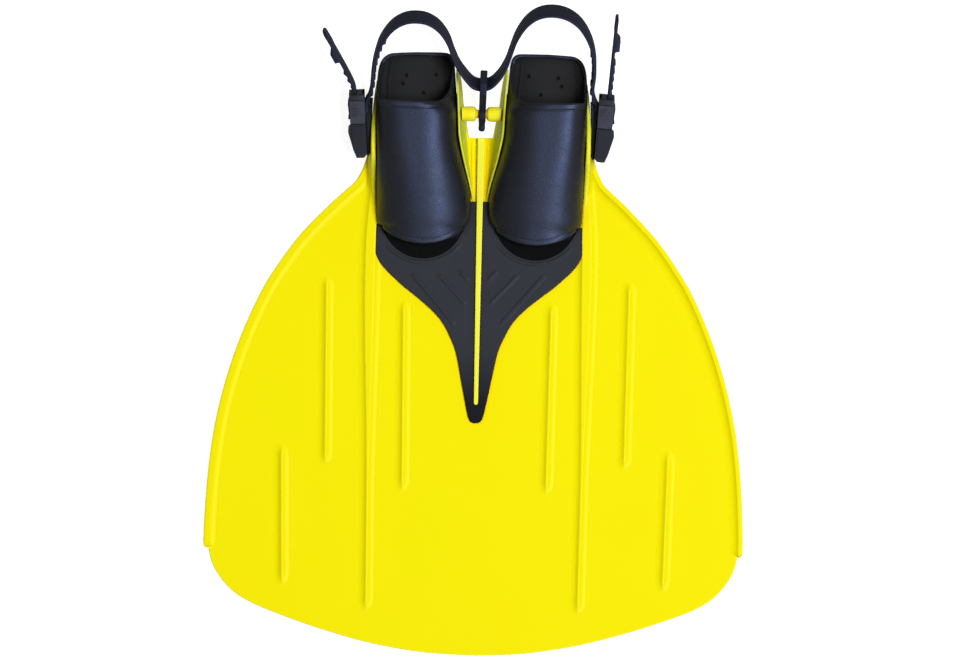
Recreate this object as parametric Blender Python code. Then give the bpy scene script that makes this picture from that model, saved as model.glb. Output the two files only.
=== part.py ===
"""Monofin: one broad blade, two open-heel foot pockets, a toe web, and a heel strap on quick-release buckles.

Constants are in millimetres, meshes in metres. +Z is up, the heels point to +Y and the blade to -Y.
The harness (strap and buckles) is drawn flat in its own frame and then tilted about the studs that carry it.
Each buckle is drawn in its own frame too: x outward, y along the strap, z across it, with the stud at y = 0.
"""
import math

import bpy
import numpy as np
from mathutils import Matrix

MM = 0.001
CLEAR = 0.3  # gap between neighbouring pieces
PIN_CLEAR = 0.15  # radial running gap on pins and rollers
SIDES = {"right": 1, "left": -1}

POCKET_OUT = 104.8  # outer side of each foot pocket, from the middle
NECK_OUT = 21.7  # the blade's neck, outside the pocket
BUCKLE_OUT = 17.0  # middle of each buckle, outside the pocket
BUCKLE_X = POCKET_OUT + BUCKLE_OUT

# Blade: a thin plate with ribs and edge rails that stand out of both faces
HALF_SPAN = 270.0
NECK_X, NECK_Y = POCKET_OUT + NECK_OUT, 144.0
RAIL_END_Y = -216.0
TIP_Y = -326.6
PLATE_T = 3.6
RIB_RISE = 3.2
RIB_W = 5.0
RIB_CREST = 2.6
RAIL_W = 6.0
RAIL_SETBACK = 4.0  # the plate's edge lies this far inside the rails' outer side
PLATE_LOW = RIB_RISE
PLATE_TOP = RIB_RISE + PLATE_T
RIB_TOP = PLATE_TOP + RIB_RISE

# Shares of the way from the neck to the widest point (x) and to the end of the rails (y)
EDGE_SHAPE = [
    (0, 0), (0.153, 0.056), (0.352, 0.139), (0.505, 0.222), (0.631, 0.306), (0.767, 0.431),
    (0.868, 0.556), (0.937, 0.681), (0.976, 0.806), (0.995, 0.931), (1, 1),
]
# Shares of the plate's half width at the end of the rails (x) and of the way on to the tip (y)
TRAIL_SHAPE = [
    (1, 0), (0.985, 0.175), (0.955, 0.313), (0.902, 0.452), (0.825, 0.562), (0.706, 0.673),
    (0.567, 0.783), (0.394, 0.894), (0.2, 0.972), (0, 1),
]
# Straight ribs of one half: (x, y) of the heel end, then of the blade end
RIBS = [
    ((POCKET_OUT + 6.2, 165.0), (POCKET_OUT + 0.2, -280.0)),
    ((151.5, 49.5), (149.5, -135.5)),
    ((74.0, 26.5), (72.0, -161.5)),
    ((193.5, -119.5), (190.5, -257.0)),
]
KEEL_TOP = 12.5
KEEL_HEEL_Y, KEEL_TIP_Y = 191.0, -73.0
KEEL_HEEL_W, KEEL_TIP_W = 7.0, 4.6
BRIDGE_Y = 192.0  # heel-side edge of the plate between the inner cheeks

# Foot pockets: (y, inner x, outer x, height of the outside above the sole's underside)
CUT_REACH = 60.0  # how far the cutters run past the pocket
POCKET_WALL = 3.0
SOLE_T = 4.0
POCKET_LOW = PLATE_TOP + CLEAR
SOLE_TOP = POCKET_LOW + SOLE_T
TOE_Y = 99.0
TOE_TUCK, HEEL_TUCK = 7.3, 10.3  # how far the outer side comes in at the toe and at the heel
TOE_IN, TOE_OUT = 15.3, POCKET_OUT - TOE_TUCK
TOE_RIM_DIP = 14.4  # how far the instep's toe edge bows past the toe corners
TOE_SOLE_DIP = 27.2  # how far the sole bows past them
HEEL_Y = 276.5
POCKET_SHAPE = [
    (TOE_Y, TOE_IN, TOE_OUT, 29), (104, 12.2, POCKET_OUT - 2.8, 31.5), (111, 9.8, POCKET_OUT - 0.5, 35),
    (123, 8.5, POCKET_OUT, 40), (144.6, 11.1, POCKET_OUT, 49), (169.5, 17.5, POCKET_OUT, 58),
    (192, 22.3, POCKET_OUT, 65), (222, 24.8, POCKET_OUT, 71.5), (236, 26.5, POCKET_OUT, 73),
    (251, 28.8, POCKET_OUT - 0.2, 74), (266, 30, POCKET_OUT - 3, 74), (272, 31, POCKET_OUT - 6.3, 74),
    (HEEL_Y, 33.5, POCKET_OUT - HEEL_TUCK, 74),
]
ARCH = 2.7  # superellipse exponent of the pocket's section
ARCH_STEPS = 22
HEEL_LIP_H = 4.0
# Side view of the cut that opens the heel: (y, z above the sole's top)
HEEL_CUT = [
    (HEEL_Y + CUT_REACH, HEEL_LIP_H), (266, 5.0), (256, 10.0), (247, 22.0), (239, 40.0), (232, 58.0), (227.5, 75.0),
]
SOLE_HOLES = [(78.0, 252.0), (47.0, 252.8), (80.0, 242.5), (58.5, 235.5)]
SOLE_HOLE_R = 1.6
TOE_RUN, CAVITY_RUN = 34.0, 44.0  # how far the uncut shell and its cavity run past the toe

# Toe web: the black plate that ties both pockets to the blade; points of its outer edge on one side
WEB_T = 3.0
WEB_TOP_Y = 128.0
WEB_EDGE = [
    (POCKET_OUT - 0.6, 78), (POCKET_OUT - 7.8, 62), (77, 44), (64.5, 34), (47.5, 20), (34.8, 6), (24.8, -13),
    (20, -27), (14.5, -54.5), (8.4, -84),
]
WEB_NOSE, WEB_TIP_Y = (4.0, -91.8), -93.8

# Outer cheeks: (y, width at the foot, height); inner cheeks: (y, gap-side foot, pocket-side face, height)
CHEEK_CREST = 1.6
CHEEK_FACE = POCKET_OUT + CLEAR  # upright face against the pocket
OUTER_CHEEK = [
    (244, 0.8, 14), (237, 1.9, 22), (227, 2.9, 33), (210, 4.3, 39), (192, 5.7, 42), (169.5, 8.7, 38),
    (157, 12.3, 26), (NECK_Y, NECK_X - CHEEK_FACE - 4, 15), (130, NECK_X - CHEEK_FACE + 4, RIB_TOP + 0.5),
]
INNER_CHEEK = [
    (258, 25.6, 27.2, 16), (252, 23, 28.3, 21), (238, 20.6, 26.3, 30), (224, 18.5, 24.6, 36),
    (206, 15, 23.2, 40),
    (192, 11.8, 22.0, 39), (169.5, 9.6, 17.2, 29), (144.6, 7.6, 10.8, 17), (131, 6.2, 8.2, 9.5),
]
STIRRUP_Y = 236.0  # heel-side end of the plate under the soles

# Crossbar between the inner cheeks
BAR_Y, BAR_Z = 215.5, 22.0
BAR_NECK_R, BAR_BOSS_R = 4.15, 7.5
BAR_NECK_HALF, BAR_HALF = 5.3, 19.5

# Harness: studs, tilt, strap and buckles
STUD_Y, STUD_Z = 182.0, 24.0
STUD_R, STUD_HEAD_R, STUD_HEAD_T = 4.0, 6.0, 1.6
TILT = math.radians(10)
LEAN = math.radians(3.5)
STRAP_W, STRAP_T = 24.5, 3.0
TOOTH_H, TOOTH_PITCH = 1.3, 8.3
STRAP_ROLL = math.radians(18)  # the loops lean in by this much more than the harness
ROLL_START, ROLL_FULL = 6.0, 50.0  # distances above the buckle over which the lean builds up
TAIL_RAMP = 34.0  # smooth end of each tail, with the grip tab
TOOTHED_RUN = 150.0
TAB_H = 3.4
# Centre line of each half of the strap in plan, from the middle dip: share of the way out to the buckle, and y
STRAP_LOOP = {
    "right": [
        (0, 244.1), (0.074, 246.8), (0.144, 255.5), (0.197, 267), (0.234, 280), (0.279, 294.5),
        (0.353, 308), (0.452, 316.8), (0.569, 319.4), (0.69, 316.5), (0.796, 307.5), (0.874, 292.5),
        (0.915, 276), (0.923, 260), (0.911, 245), (0.911, 236), (0.926, 229.5),
    ],
    "left": [
        (0, 244.1), (0.074, 246.8), (0.14, 255), (0.197, 264.5), (0.242, 276), (0.287, 290),
        (0.361, 302), (0.452, 309), (0.55, 310.9), (0.649, 309), (0.747, 301.5), (0.829, 288),
        (0.874, 273), (0.895, 260), (0.905, 247), (0.91, 237), (0.926, 229.5),
    ],
}
# Each tail: distance outward from the buckle's middle, and y
STRAP_TAIL = {
    "right": [(5.8, 243), (7.4, 262), (9.4, 285), (12.2, 316)],
    "left": [(6.8, 243), (13.6, 256), (22.2, 271), (29.7, 283.5), (37.7, 296.5)],
}

# Buckle, in its own frame
ROLLER_R = 3.2
PIN_R = 1.5
LEVER_PIN_R = 1.2
HALF_T = 7.75  # half thickness of the buckle
PLATE_GAP = 0.45  # strap edge to side plate
SIDE_T = 1.8
SIDE_IN = STRAP_W / 2 + PLATE_GAP
SIDE_OUT = SIDE_IN + SIDE_T
SQUEEZE_ROOM = 2.3
PAD_IN = SIDE_OUT + SQUEEZE_ROOM
PAD_T = 2.6
PAD_OUT = PAD_IN + PAD_T
HOUSING_WALL = 2.3
HOUSING_HALF = PAD_OUT - 1.1
CAVITY_HALF = HOUSING_HALF - HOUSING_WALL
CAVITY_IN, CAVITY_OUT = -4.6, 4.4
HOUSING_END, HOUSING_MOUTH = -10.0, 24.0
BUMP_Y, BUMP_H = 17.0, 2.4
TOP_BAR_Y, INSERT_END = 48.4, 54.0
CROSS_Y, CROSS_T = 26.4, 2.0
WRAP_R = ROLLER_R + CLEAR + STRAP_T / 2
ROLLER_X = -3.2
ROLLER_Y = CROSS_Y + CROSS_T + CLEAR + WRAP_R + STRAP_T / 2 + TOOTH_H
TAIL_X = ROLLER_X + WRAP_R
TAIL_OUT = TAIL_X + STRAP_T / 2 + TOOTH_H + CLEAR
TONGUE_HALF, TONGUE_X, TONGUE_T = 9.0, 0.4, 3.2
TONGUE_TIP = -6.0
PRONG_T, PRONG_TIP, CATCH_L, CATCH_H = 2.4, 9.0, 5.0, 1.6
PRONG_OUT = CAVITY_HALF - CLEAR
ARM_PIVOT_Y = TOP_BAR_Y - 2.0
ARM_PIVOT_Z = SIDE_OUT + 1.5
LEVER_Y, LEVER_X = 43.6, 6.6
LEVER_TOP, LEVER_TIP = 3.0, 15.0
RIDGES, RIDGE_START, RIDGE_PITCH = 4, 5.0, 3.1

# Keeper link: distances along the link from the crossbar, and across it
LINK_ANGLE = math.radians(24.4)
LINK_T = 6.6
STRAP_EYE_AT, STRAP_EYE_L = 32.4, 12.0
LINK_WALL = 3.4
EYE_WALL = 3.8
LINK_TAIL, LINK_TAIL_W = 18.5, 7.0

YELLOW = (0.93, 0.81, 0.0)
RUBBER = (0.035, 0.035, 0.055)
BUCKLE_BLACK = (0.02, 0.02, 0.03)
STEEL = (0.55, 0.56, 0.58)


# ---------------------------------------------------------------- helpers

def clear_scene():
    for obj in list(bpy.data.objects):
        bpy.data.objects.remove(obj, do_unlink=True)


def curve_through(points, per_span=5):
    """Points on a smooth Catmull-Rom curve through the given ones."""
    knots = np.array(points, float)
    ends = np.vstack([2 * knots[0] - knots[1], knots, 2 * knots[-1] - knots[-2]])
    t = np.linspace(0, 1, per_span, endpoint=False)[:, None]
    spans = []
    for i in range(1, len(knots)):
        a, b, c, d = ends[i - 1], ends[i], ends[i + 1], ends[i + 2]
        slope, bend, twist = c - a, 2 * a - 5 * b + 4 * c - d, 3 * b - a - 3 * c + d
        spans.append(0.5 * (2 * b + slope * t + bend * t**2 + twist * t**3))
    return np.vstack(spans + [knots[-1:]])


def even(points, step):
    """The same line with its points about one step apart."""
    points = np.array(points, float)
    run = np.concatenate([[0], np.cumsum(np.linalg.norm(np.diff(points, axis=0), axis=1))])
    marks = np.linspace(0, run[-1], max(2, round(run[-1] / step) + 1))
    return np.column_stack([np.interp(marks, run, points[:, k]) for k in range(points.shape[1])])


def beside(points, distance):
    """The line that runs beside a plan line, to its left by the distance."""
    along = np.gradient(np.array(points, float), axis=0)
    along /= np.linalg.norm(along, axis=1)[:, None]
    return points + distance * np.column_stack([-along[:, 1], along[:, 0]])


def bow(start, end, dip, steps=14):
    """Arc from start to end, both at one y, that dips toward -Y."""
    half = (end[0] - start[0]) / 2
    radius = (half**2 + dip**2) / (2 * dip)
    reach = math.atan2(half, radius - dip)
    angles = np.linspace(-reach, reach, steps)
    middle = (start[0] + end[0]) / 2
    return np.column_stack([middle + radius * np.sin(angles), start[1] - dip + radius * (1 - np.cos(angles))])


def solid(name, verts, faces):
    mesh = bpy.data.meshes.new(name)
    mesh.from_pydata((np.array(verts, float) * MM).tolist(), [], faces)
    obj = bpy.data.objects.new(name, mesh)
    bpy.context.scene.collection.objects.link(obj)
    outward(obj)
    return obj


def outward(obj):
    """Turn every face outward: the signed volume of a closed mesh tells which way they point."""
    mesh = obj.data
    mesh.calc_loop_triangles()
    volume = 0.0
    for tri in mesh.loop_triangles:
        a, b, c = (mesh.vertices[i].co for i in tri.vertices)
        volume += a.dot(b.cross(c))
    if volume < 0:
        mesh.flip_normals()


def loft(name, rings):
    """Closed body through rings of equal point count."""
    count = len(rings[0])
    verts = np.vstack(rings)
    faces = [list(range(count)), list(range(len(verts) - 1, len(verts) - count - 1, -1))]
    for r in range(len(rings) - 1):
        for k in range(count):
            n = (k + 1) % count
            faces.append([r * count + n, r * count + k, (r + 1) * count + k, (r + 1) * count + n])
    return solid(name, verts, faces)


def at_height(outline, z):
    return np.column_stack([outline, np.full(len(outline), z)])


def prism(name, outline, low, high):
    return loft(name, [at_height(outline, low), at_height(outline, high)])


def side_prism(name, outline, low, high):
    """Prism along X from an outline of (y, z) points."""
    outline = np.array(outline, float)
    rings = [np.column_stack([np.full(len(outline), x), outline]) for x in (low, high)]
    return loft(name, rings)


def block(name, x, y, z):
    return prism(name, [(x[0], y[0]), (x[1], y[0]), (x[1], y[1]), (x[0], y[1])], *z)


def turned(name, profile, axis, centre, steps=24):
    """Body of revolution: profile of (distance along the axis, radius), from one end to the other."""
    angles = np.linspace(0, 2 * math.pi, steps, endpoint=False)
    order = {"X": (0, 1, 2), "Z": (2, 0, 1)}[axis]
    rings = []
    for along, radius in profile:
        ring = np.zeros((steps, 3))
        ring[:, order[0]] = along
        ring[:, order[1]] = radius * np.cos(angles)
        ring[:, order[2]] = radius * np.sin(angles)
        rings.append(ring + centre)
    return loft(name, rings)


def boolean(target, tools, operation):
    for tool in tools:
        step = target.modifiers.new(operation, "BOOLEAN")
        step.operation = operation
        step.solver = "EXACT"
        step.object = tool
    graph = bpy.context.evaluated_depsgraph_get()
    result = bpy.data.meshes.new_from_object(target.evaluated_get(graph))
    target.modifiers.clear()
    old = target.data
    target.data = result
    bpy.data.meshes.remove(old)
    for tool in tools:
        bpy.data.objects.remove(tool, do_unlink=True)
    return target


def join(target, *tools):
    return boolean(target, tools, "UNION")


def cut(target, *tools):
    return boolean(target, tools, "DIFFERENCE")


def mirrored(outline):
    """Outline of one half, from heel to tip on +X, closed by its mirror image. A point on the axis isn't doubled."""
    outline = np.array(outline, float)
    back = outline[::-1] * (-1, 1)
    return np.vstack([outline, back[back[:, 0] < 0]])


def finished(obj, material):
    obj.data.materials.clear()
    obj.data.materials.append(material)
    obj.data.shade_smooth()
    obj.data.set_sharp_from_angle(angle=math.radians(32))
    return obj


def plastic(name, colour, roughness, metallic=0.0):
    material = bpy.data.materials.new(name)
    material.use_nodes = True
    shader = material.node_tree.nodes["Principled BSDF"]
    shader.inputs["Base Color"].default_value = (*colour, 1)
    shader.inputs["Roughness"].default_value = roughness
    shader.inputs["Metallic"].default_value = metallic
    return material


def pivot(name, position, turn=None):
    empty = bpy.data.objects.new(name, None)
    empty.empty_display_size = 0.02
    bpy.context.scene.collection.objects.link(empty)
    empty.matrix_world = Matrix.Translation([v * MM for v in position]) @ (turn or Matrix.Identity(4))
    return empty


def hang(obj, empty):
    """Parent a piece to its joint's empty and leave it where it is."""
    obj.parent = empty
    obj.matrix_parent_inverse = empty.matrix_world.inverted()


def moved(obj, matrix):
    obj.data.transform(matrix)
    if matrix.determinant() < 0:
        obj.data.flip_normals()
    return obj


# ---------------------------------------------------------------- frames

def harness_frame():
    place = Matrix.Translation((0, STUD_Y * MM, STUD_Z * MM))
    return place @ Matrix.Rotation(TILT, 4, "X")


def buckle_frame(side):
    mirror = Matrix.Scale(-1, 4, (1, 0, 0)) if side < 0 else Matrix.Identity(4)
    return harness_frame() @ mirror @ Matrix.Translation((BUCKLE_X * MM, 0, 0)) @ Matrix.Rotation(-LEAN, 4, "Z")


def buckle_point(side, x, y, z):
    """A point of the buckle's frame, in world millimetres."""
    return (buckle_frame(side) @ Matrix.Translation((x * MM, y * MM, z * MM))).translation / MM


# ---------------------------------------------------------------- blade

def edge_line():
    """Outer side of the right rail, from the neck to the rail's end."""
    shape = np.array(EDGE_SHAPE)
    x = NECK_X + shape[:, 0] * (HALF_SPAN - NECK_X)
    y = NECK_Y + shape[:, 1] * (RAIL_END_Y - NECK_Y)
    return curve_through(np.column_stack([x, y]), 3)


def plate_edge():
    """Edge of the plate on one side: inside the rail, then round to the tip."""
    side = beside(edge_line(), -RAIL_SETBACK)
    shape = np.array(TRAIL_SHAPE)
    x = shape[:, 0] * (HALF_SPAN - RAIL_SETBACK)
    y = RAIL_END_Y + shape[:, 1] * (TIP_Y - RAIL_END_Y)
    return np.vstack([side[:-1], curve_through(np.column_stack([x, y]), 3)])


def heel_edge():
    """Edge of the plate under one pocket, from the middle out to the neck."""
    inner = [(x, y) for y, x, _, _ in INNER_CHEEK if BRIDGE_Y <= y < STIRRUP_Y]
    outer = [(CHEEK_FACE + width - 1, y) for y, width, _ in OUTER_CHEEK if NECK_Y < y < STIRRUP_Y]
    lift = [(inner[0][0] + 1, STIRRUP_Y), (CHEEK_FACE + 1, STIRRUP_Y)]
    return [(x + 1, y) for x, y in inner[::-1]] + lift + outer


def stadium(start, end, width, steps=5):
    """Outline of a bar with round ends, between two plan points."""
    start, end = np.array(start, float), np.array(end, float)
    heading = math.atan2(*(end - start)[::-1])
    turn = np.linspace(-math.pi / 2, math.pi / 2, steps)
    cap = lambda point, angle: point + width / 2 * np.column_stack([np.cos(angle + turn), np.sin(angle + turn)])
    return np.vstack([cap(end, heading), cap(start, heading + math.pi)])


def rib(name, start, end):
    """A ridge through the plate, narrower at its two crests."""
    layers = [(0, RIB_CREST), (RIB_RISE * 0.6, RIB_W), (RIB_TOP - RIB_RISE * 0.6, RIB_W), (RIB_TOP, RIB_CREST)]
    return loft(name, [at_height(stadium(start, end, width), z) for z, width in layers])


def keel():
    """Central rib: it tapers toward the tip and stands higher than the others."""
    def ring(shrink, z):
        heel, tip = KEEL_HEEL_W / 2 - shrink, KEEL_TIP_W / 2 - shrink
        turn = np.linspace(0, -math.pi, 7)
        nose = np.column_stack([tip * np.cos(turn), KEEL_TIP_Y + tip * np.sin(turn)])
        return at_height(np.vstack([[(-heel, KEEL_HEEL_Y), (heel, KEEL_HEEL_Y)], nose]), z)
    return loft("keel", [ring(0.8, 0), ring(0, 1.5), ring(0, KEEL_TOP - 1.5), ring(1.2, KEEL_TOP)])


def rail(name):
    outer = edge_line()
    inner = beside(outer, -RAIL_W)
    outline = np.vstack([outer, inner[::-1]])
    lip = np.vstack([beside(outer, -1.5), beside(outer, 1.5 - RAIL_W)[::-1]])
    layers = [(lip, 0), (outline, RIB_RISE * 0.6), (outline, RIB_TOP - RIB_RISE * 0.6), (lip, RIB_TOP)]
    return loft(name, [at_height(ring, z) for ring, z in layers])


def outer_cheek(name):
    """Wall outside a pocket: upright against the pocket, sloped on its outer face."""
    rings = []
    for y, width, height in OUTER_CHEEK:
        foot, crest = CHEEK_FACE + width, CHEEK_FACE + min(CHEEK_CREST, width)
        rings.append([(CHEEK_FACE, y, 0), (foot, y, 0), (crest, y, height), (CHEEK_FACE, y, height)])
    return loft(name, np.array(rings, float))


def inner_cheek(name):
    """Wall between a pocket and the middle gap, sloped on the gap's side."""
    rings = []
    for y, foot, inside, height in INNER_CHEEK:
        crest = max(inside - CHEEK_CREST, foot)
        rings.append([(inside, y, 0), (foot, y, 0), (crest, y, height), (inside, y, height)])
    return loft(name, np.array(rings, float))


def crossbar():
    soft = 2.2
    half = [
        (0, BAR_NECK_R), (BAR_NECK_HALF, BAR_NECK_R), (BAR_NECK_HALF + 0.4, BAR_BOSS_R - soft),
        (BAR_NECK_HALF + soft, BAR_BOSS_R), (BAR_HALF, BAR_BOSS_R),
    ]
    profile = [(-x, r) for x, r in half[:0:-1]] + half
    return turned("crossbar", profile, "X", (0, BAR_Y, BAR_Z))


def stud(name):
    """Button on the outer cheek: its head sits inside the buckle's housing."""
    wall = BUCKLE_X - HALF_T
    neck = BUCKLE_X + CAVITY_IN + 0.6
    profile = [
        (CHEEK_FACE + 1, STUD_R + 1.5), (wall - 1.6, STUD_R + 1.5), (wall - 1.5, STUD_R), (neck, STUD_R),
        (neck + 0.1, STUD_HEAD_R), (neck + STUD_HEAD_T, STUD_HEAD_R - 0.6),
    ]
    return turned(name, profile, "X", (0, STUD_Y, STUD_Z))


def blade():
    plate = prism("blade", mirrored(heel_edge() + plate_edge().tolist()), PLATE_LOW, PLATE_TOP)
    extras = [keel(), crossbar()]
    for side in SIDES.values():
        half = [rail("rail"), outer_cheek("outer_cheek"), inner_cheek("inner_cheek"), stud("stud")]
        half += [rib("rib", start, end) for start, end in RIBS]
        extras += [moved(obj, Matrix.Scale(side, 4, (1, 0, 0))) for obj in half]
    return join(plate, *extras)


# ---------------------------------------------------------------- foot pockets and web

def pocket_ring(y, inner, outer, height, inset, low):
    """Flat-bottomed arch across one pocket, as a ring of points."""
    centre, half = (inner + outer) / 2, (outer - inner) / 2 - inset
    angle = np.linspace(0, math.pi, ARCH_STEPS)
    x = centre + half * np.sign(np.cos(angle)) * np.abs(np.cos(angle)) ** (2 / ARCH)
    rise = POCKET_LOW + height - inset - low
    z = low + rise * np.sin(angle) ** (2 / ARCH)
    return np.column_stack([x, np.full(ARCH_STEPS, y), z])


def pocket_body(name, inset, low, toe_y, heel_y):
    """Loft of the pocket's outside (inset 0) or of its cavity."""
    toe, shape = POCKET_SHAPE[0], [list(row) for row in POCKET_SHAPE]
    shape[-1][0] = heel_y
    if inset:
        shape[-2][0] = heel_y - 4
        shape[-3][0] = heel_y - 10
    stations = [(toe_y, *toe[1:3], toe[3] - 8)] + shape
    return loft(name, [pocket_ring(*row, inset, low) for row in stations])


def toe_cutter(name, dip, low):
    """Everything ahead of an arc across the toe."""
    arc = bow((TOE_IN, TOE_Y), (TOE_OUT, TOE_Y), dip)
    far, wide, narrow = TOE_Y - CUT_REACH, TOE_OUT + TOE_IN, 0
    outline = np.vstack([arc, [(wide, TOE_Y), (wide, far), (narrow, far), (narrow, TOE_Y)]])
    return prism(name, outline, low, SOLE_TOP + CUT_REACH)


def foot_pocket(side_name):
    side = SIDES[side_name]
    shell = pocket_body(side_name + "_foot_pocket", 0, POCKET_LOW, TOE_Y - TOE_RUN, HEEL_Y)
    cavity = pocket_body("cavity", POCKET_WALL, SOLE_TOP, TOE_Y - CAVITY_RUN, HEEL_Y - POCKET_WALL)
    cutters = [cavity]
    cutters.append(toe_cutter("toe_opening", TOE_RIM_DIP, SOLE_TOP))
    cutters.append(toe_cutter("toe_edge", TOE_SOLE_DIP, 0))
    above = SOLE_TOP + HEEL_CUT[-1][1] + CUT_REACH
    opening = [(y, SOLE_TOP + z) for y, z in HEEL_CUT] + [(HEEL_CUT[-1][0], above), (HEEL_CUT[0][0], above)]
    cutters.append(side_prism("heel_opening", opening, 0, POCKET_OUT + CUT_REACH))
    for x, y in SOLE_HOLES:
        drain = [(POCKET_LOW - 1, SOLE_HOLE_R), (SOLE_TOP + 1, SOLE_HOLE_R)]
        cutters.append(turned("drain", drain, "Z", (x, y, 0), 8))
    return moved(cut(shell, *cutters), Matrix.Scale(side, 4, (1, 0, 0)))


def toe_web():
    """Flat plate between the pockets' toes and down to a point, slotted for the keel."""
    def keel_half(y):
        share = (KEEL_HEEL_Y - y) / (KEEL_HEEL_Y - KEEL_TIP_Y)
        return (KEEL_HEEL_W + share * (KEEL_TIP_W - KEEL_HEEL_W)) / 2 + CLEAR
    flank = [(x - CLEAR * 1.5, y) for y, x, _, _ in POCKET_SHAPE[3:0:-1]]
    bay = bow((TOE_IN, TOE_Y - CLEAR), (TOE_OUT, TOE_Y - CLEAR), TOE_SOLE_DIP)
    edge = curve_through(WEB_EDGE, 3)
    half = [(keel_half(WEB_TOP_Y), WEB_TOP_Y), (flank[0][0] + 0.2, WEB_TOP_Y)] + flank
    half += bay.tolist() + [(WEB_EDGE[0][0] - 0.8, TOE_Y - CLEAR)] + edge.tolist() + [WEB_NOSE, (0, WEB_TIP_Y)]
    outline = mirrored(half)
    nose = KEEL_TIP_Y - KEEL_TIP_W / 2 - CLEAR
    turn = np.linspace(math.pi, 2 * math.pi, 7)
    reach = keel_half(KEEL_TIP_Y)
    slot = np.column_stack([reach * np.cos(turn), nose + reach + reach * np.sin(turn)])
    return prism("toe_web", np.vstack([outline, slot]), PLATE_TOP + CLEAR, PLATE_TOP + CLEAR + WEB_T)


# ---------------------------------------------------------------- strap and keeper

def half_strap(side_name):
    """Centre line of half the strap in the harness plane, from the dip to the tail's tip."""
    loop = [(share * BUCKLE_X, (y - STUD_Y) / math.cos(TILT)) for share, y in STRAP_LOOP[side_name]]
    tail = [(BUCKLE_X + x, (y - STUD_Y) / math.cos(TILT)) for x, y in STRAP_TAIL[side_name]]
    turn = np.linspace(math.pi, 2 * math.pi, 9)
    wrap = np.column_stack([ROLLER_X + WRAP_R * np.cos(turn), ROLLER_Y + WRAP_R * np.sin(turn)])
    exit_run = [(TAIL_X, y) for y in (ROLLER_Y + 5, TOP_BAR_Y, INSERT_END + 1)]
    inside = np.vstack([wrap, exit_run])
    cos, sin = math.cos(LEAN), math.sin(LEAN)
    across = BUCKLE_X + inside[:, 0] * cos + inside[:, 1] * sin
    spun = np.column_stack([across, inside[:, 1] * cos - inside[:, 0] * sin])
    run = curve_through(loop + spun.tolist() + tail, 6)
    return run * (SIDES[side_name], 1)


def roll_share(run):
    """Share of the lean at each point: full over the dip and the loops' inner halves, none at the buckles."""
    across = np.abs(run[:, 0])
    share = np.clip((run[:, 1] - INSERT_END - ROLL_START) / (ROLL_FULL - ROLL_START), 0, 1)
    share[across < BUCKLE_X / 2] = 1
    share[across > BUCKLE_X - HALF_T - 1] = 0
    return share


def heel_strap():
    """One toothed band through both buckles, on edge, with its section rolled inward over the loops."""
    line = even(np.vstack([half_strap("left")[::-1], half_strap("right")[1:]]), TOOTH_PITCH / 3)
    run = np.concatenate([[0], np.cumsum(np.linalg.norm(np.diff(line, axis=0), axis=1))])
    from_end = np.minimum(run, run[-1] - run)
    toothed = (from_end > TAIL_RAMP) & (from_end < TOOTHED_RUN)
    phase = (from_end / TOOTH_PITCH) % 1
    tooth = TOOTH_H * np.where(toothed, np.clip(1.6 - 2 * np.abs(phase - 0.5) * 2, 0, 1), 0)
    tab = TAB_H * np.exp(-(((from_end - 0.62 * TAIL_RAMP) / 6) ** 4))
    tip = np.clip(0.45 + from_end / 9, 0, 1)
    heading = np.gradient(line, axis=0)
    heading /= np.linalg.norm(heading, axis=1)[:, None]
    right = np.column_stack([heading[:, 1], -heading[:, 0]])
    outer = (STRAP_T / 2 * tip + tooth + tab)[:, None] * right
    inner = -(STRAP_T / 2 * tip)[:, None] * right
    roll = roll_share(line) * STRAP_ROLL
    half = STRAP_W / 2
    rings = np.zeros((len(line), 4, 3))
    for k, (shift, across) in enumerate([(outer, -half), (outer, half), (inner, half), (inner, -half)]):
        flat = line + shift
        rings[:, k, 0] = flat[:, 0]
        rings[:, k, 1] = flat[:, 1] - across * np.sin(roll)
        rings[:, k, 2] = across * np.cos(roll)
    return moved(loft("heel_strap", rings), harness_frame())


def strap_keeper():
    """Flat rubber link: an eye on the crossbar, a tall eye round the strap, and a pull tab."""
    eye_r = BAR_NECK_R + CLEAR
    reach = STRAP_W / 2 + 1.6
    near, far = STRAP_EYE_AT - STRAP_EYE_L / 2, STRAP_EYE_AT + STRAP_EYE_L / 2
    top = reach + LINK_WALL
    eye = eye_r + EYE_WALL
    upper = [
        (far + LINK_WALL, top - 3), (far + LINK_WALL - 3, top), (near - LINK_WALL + 2, top),
        (near - LINK_WALL, top - 3), (near - LINK_WALL - 4, eye + 3), (eye * 0.7, eye * 0.98), (0, eye),
        (-eye * 0.8, eye * 0.6), (-eye - 3, LINK_TAIL_W / 2), (2 - LINK_TAIL, LINK_TAIL_W / 2),
        (0.6 - LINK_TAIL, LINK_TAIL_W / 4), (-LINK_TAIL, 0),
    ]
    outline = upper + [(l, -n) for l, n in upper[-2::-1]]
    link = side_prism("strap_keeper", outline, -LINK_T / 2, LINK_T / 2)
    slot = side_prism("slot", [(near, -reach), (far, -reach), (far, reach), (near, reach)], -LINK_T, LINK_T)
    hole = turned("hole", [(-LINK_T, eye_r), (LINK_T, eye_r)], "X", (0, 0, 0), 20)
    frame = Matrix.Translation((0, BAR_Y * MM, BAR_Z * MM)) @ Matrix.Rotation(LINK_ANGLE, 4, "X")
    return moved(cut(link, slot, hole), frame)


# ---------------------------------------------------------------- buckle pieces

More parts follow.
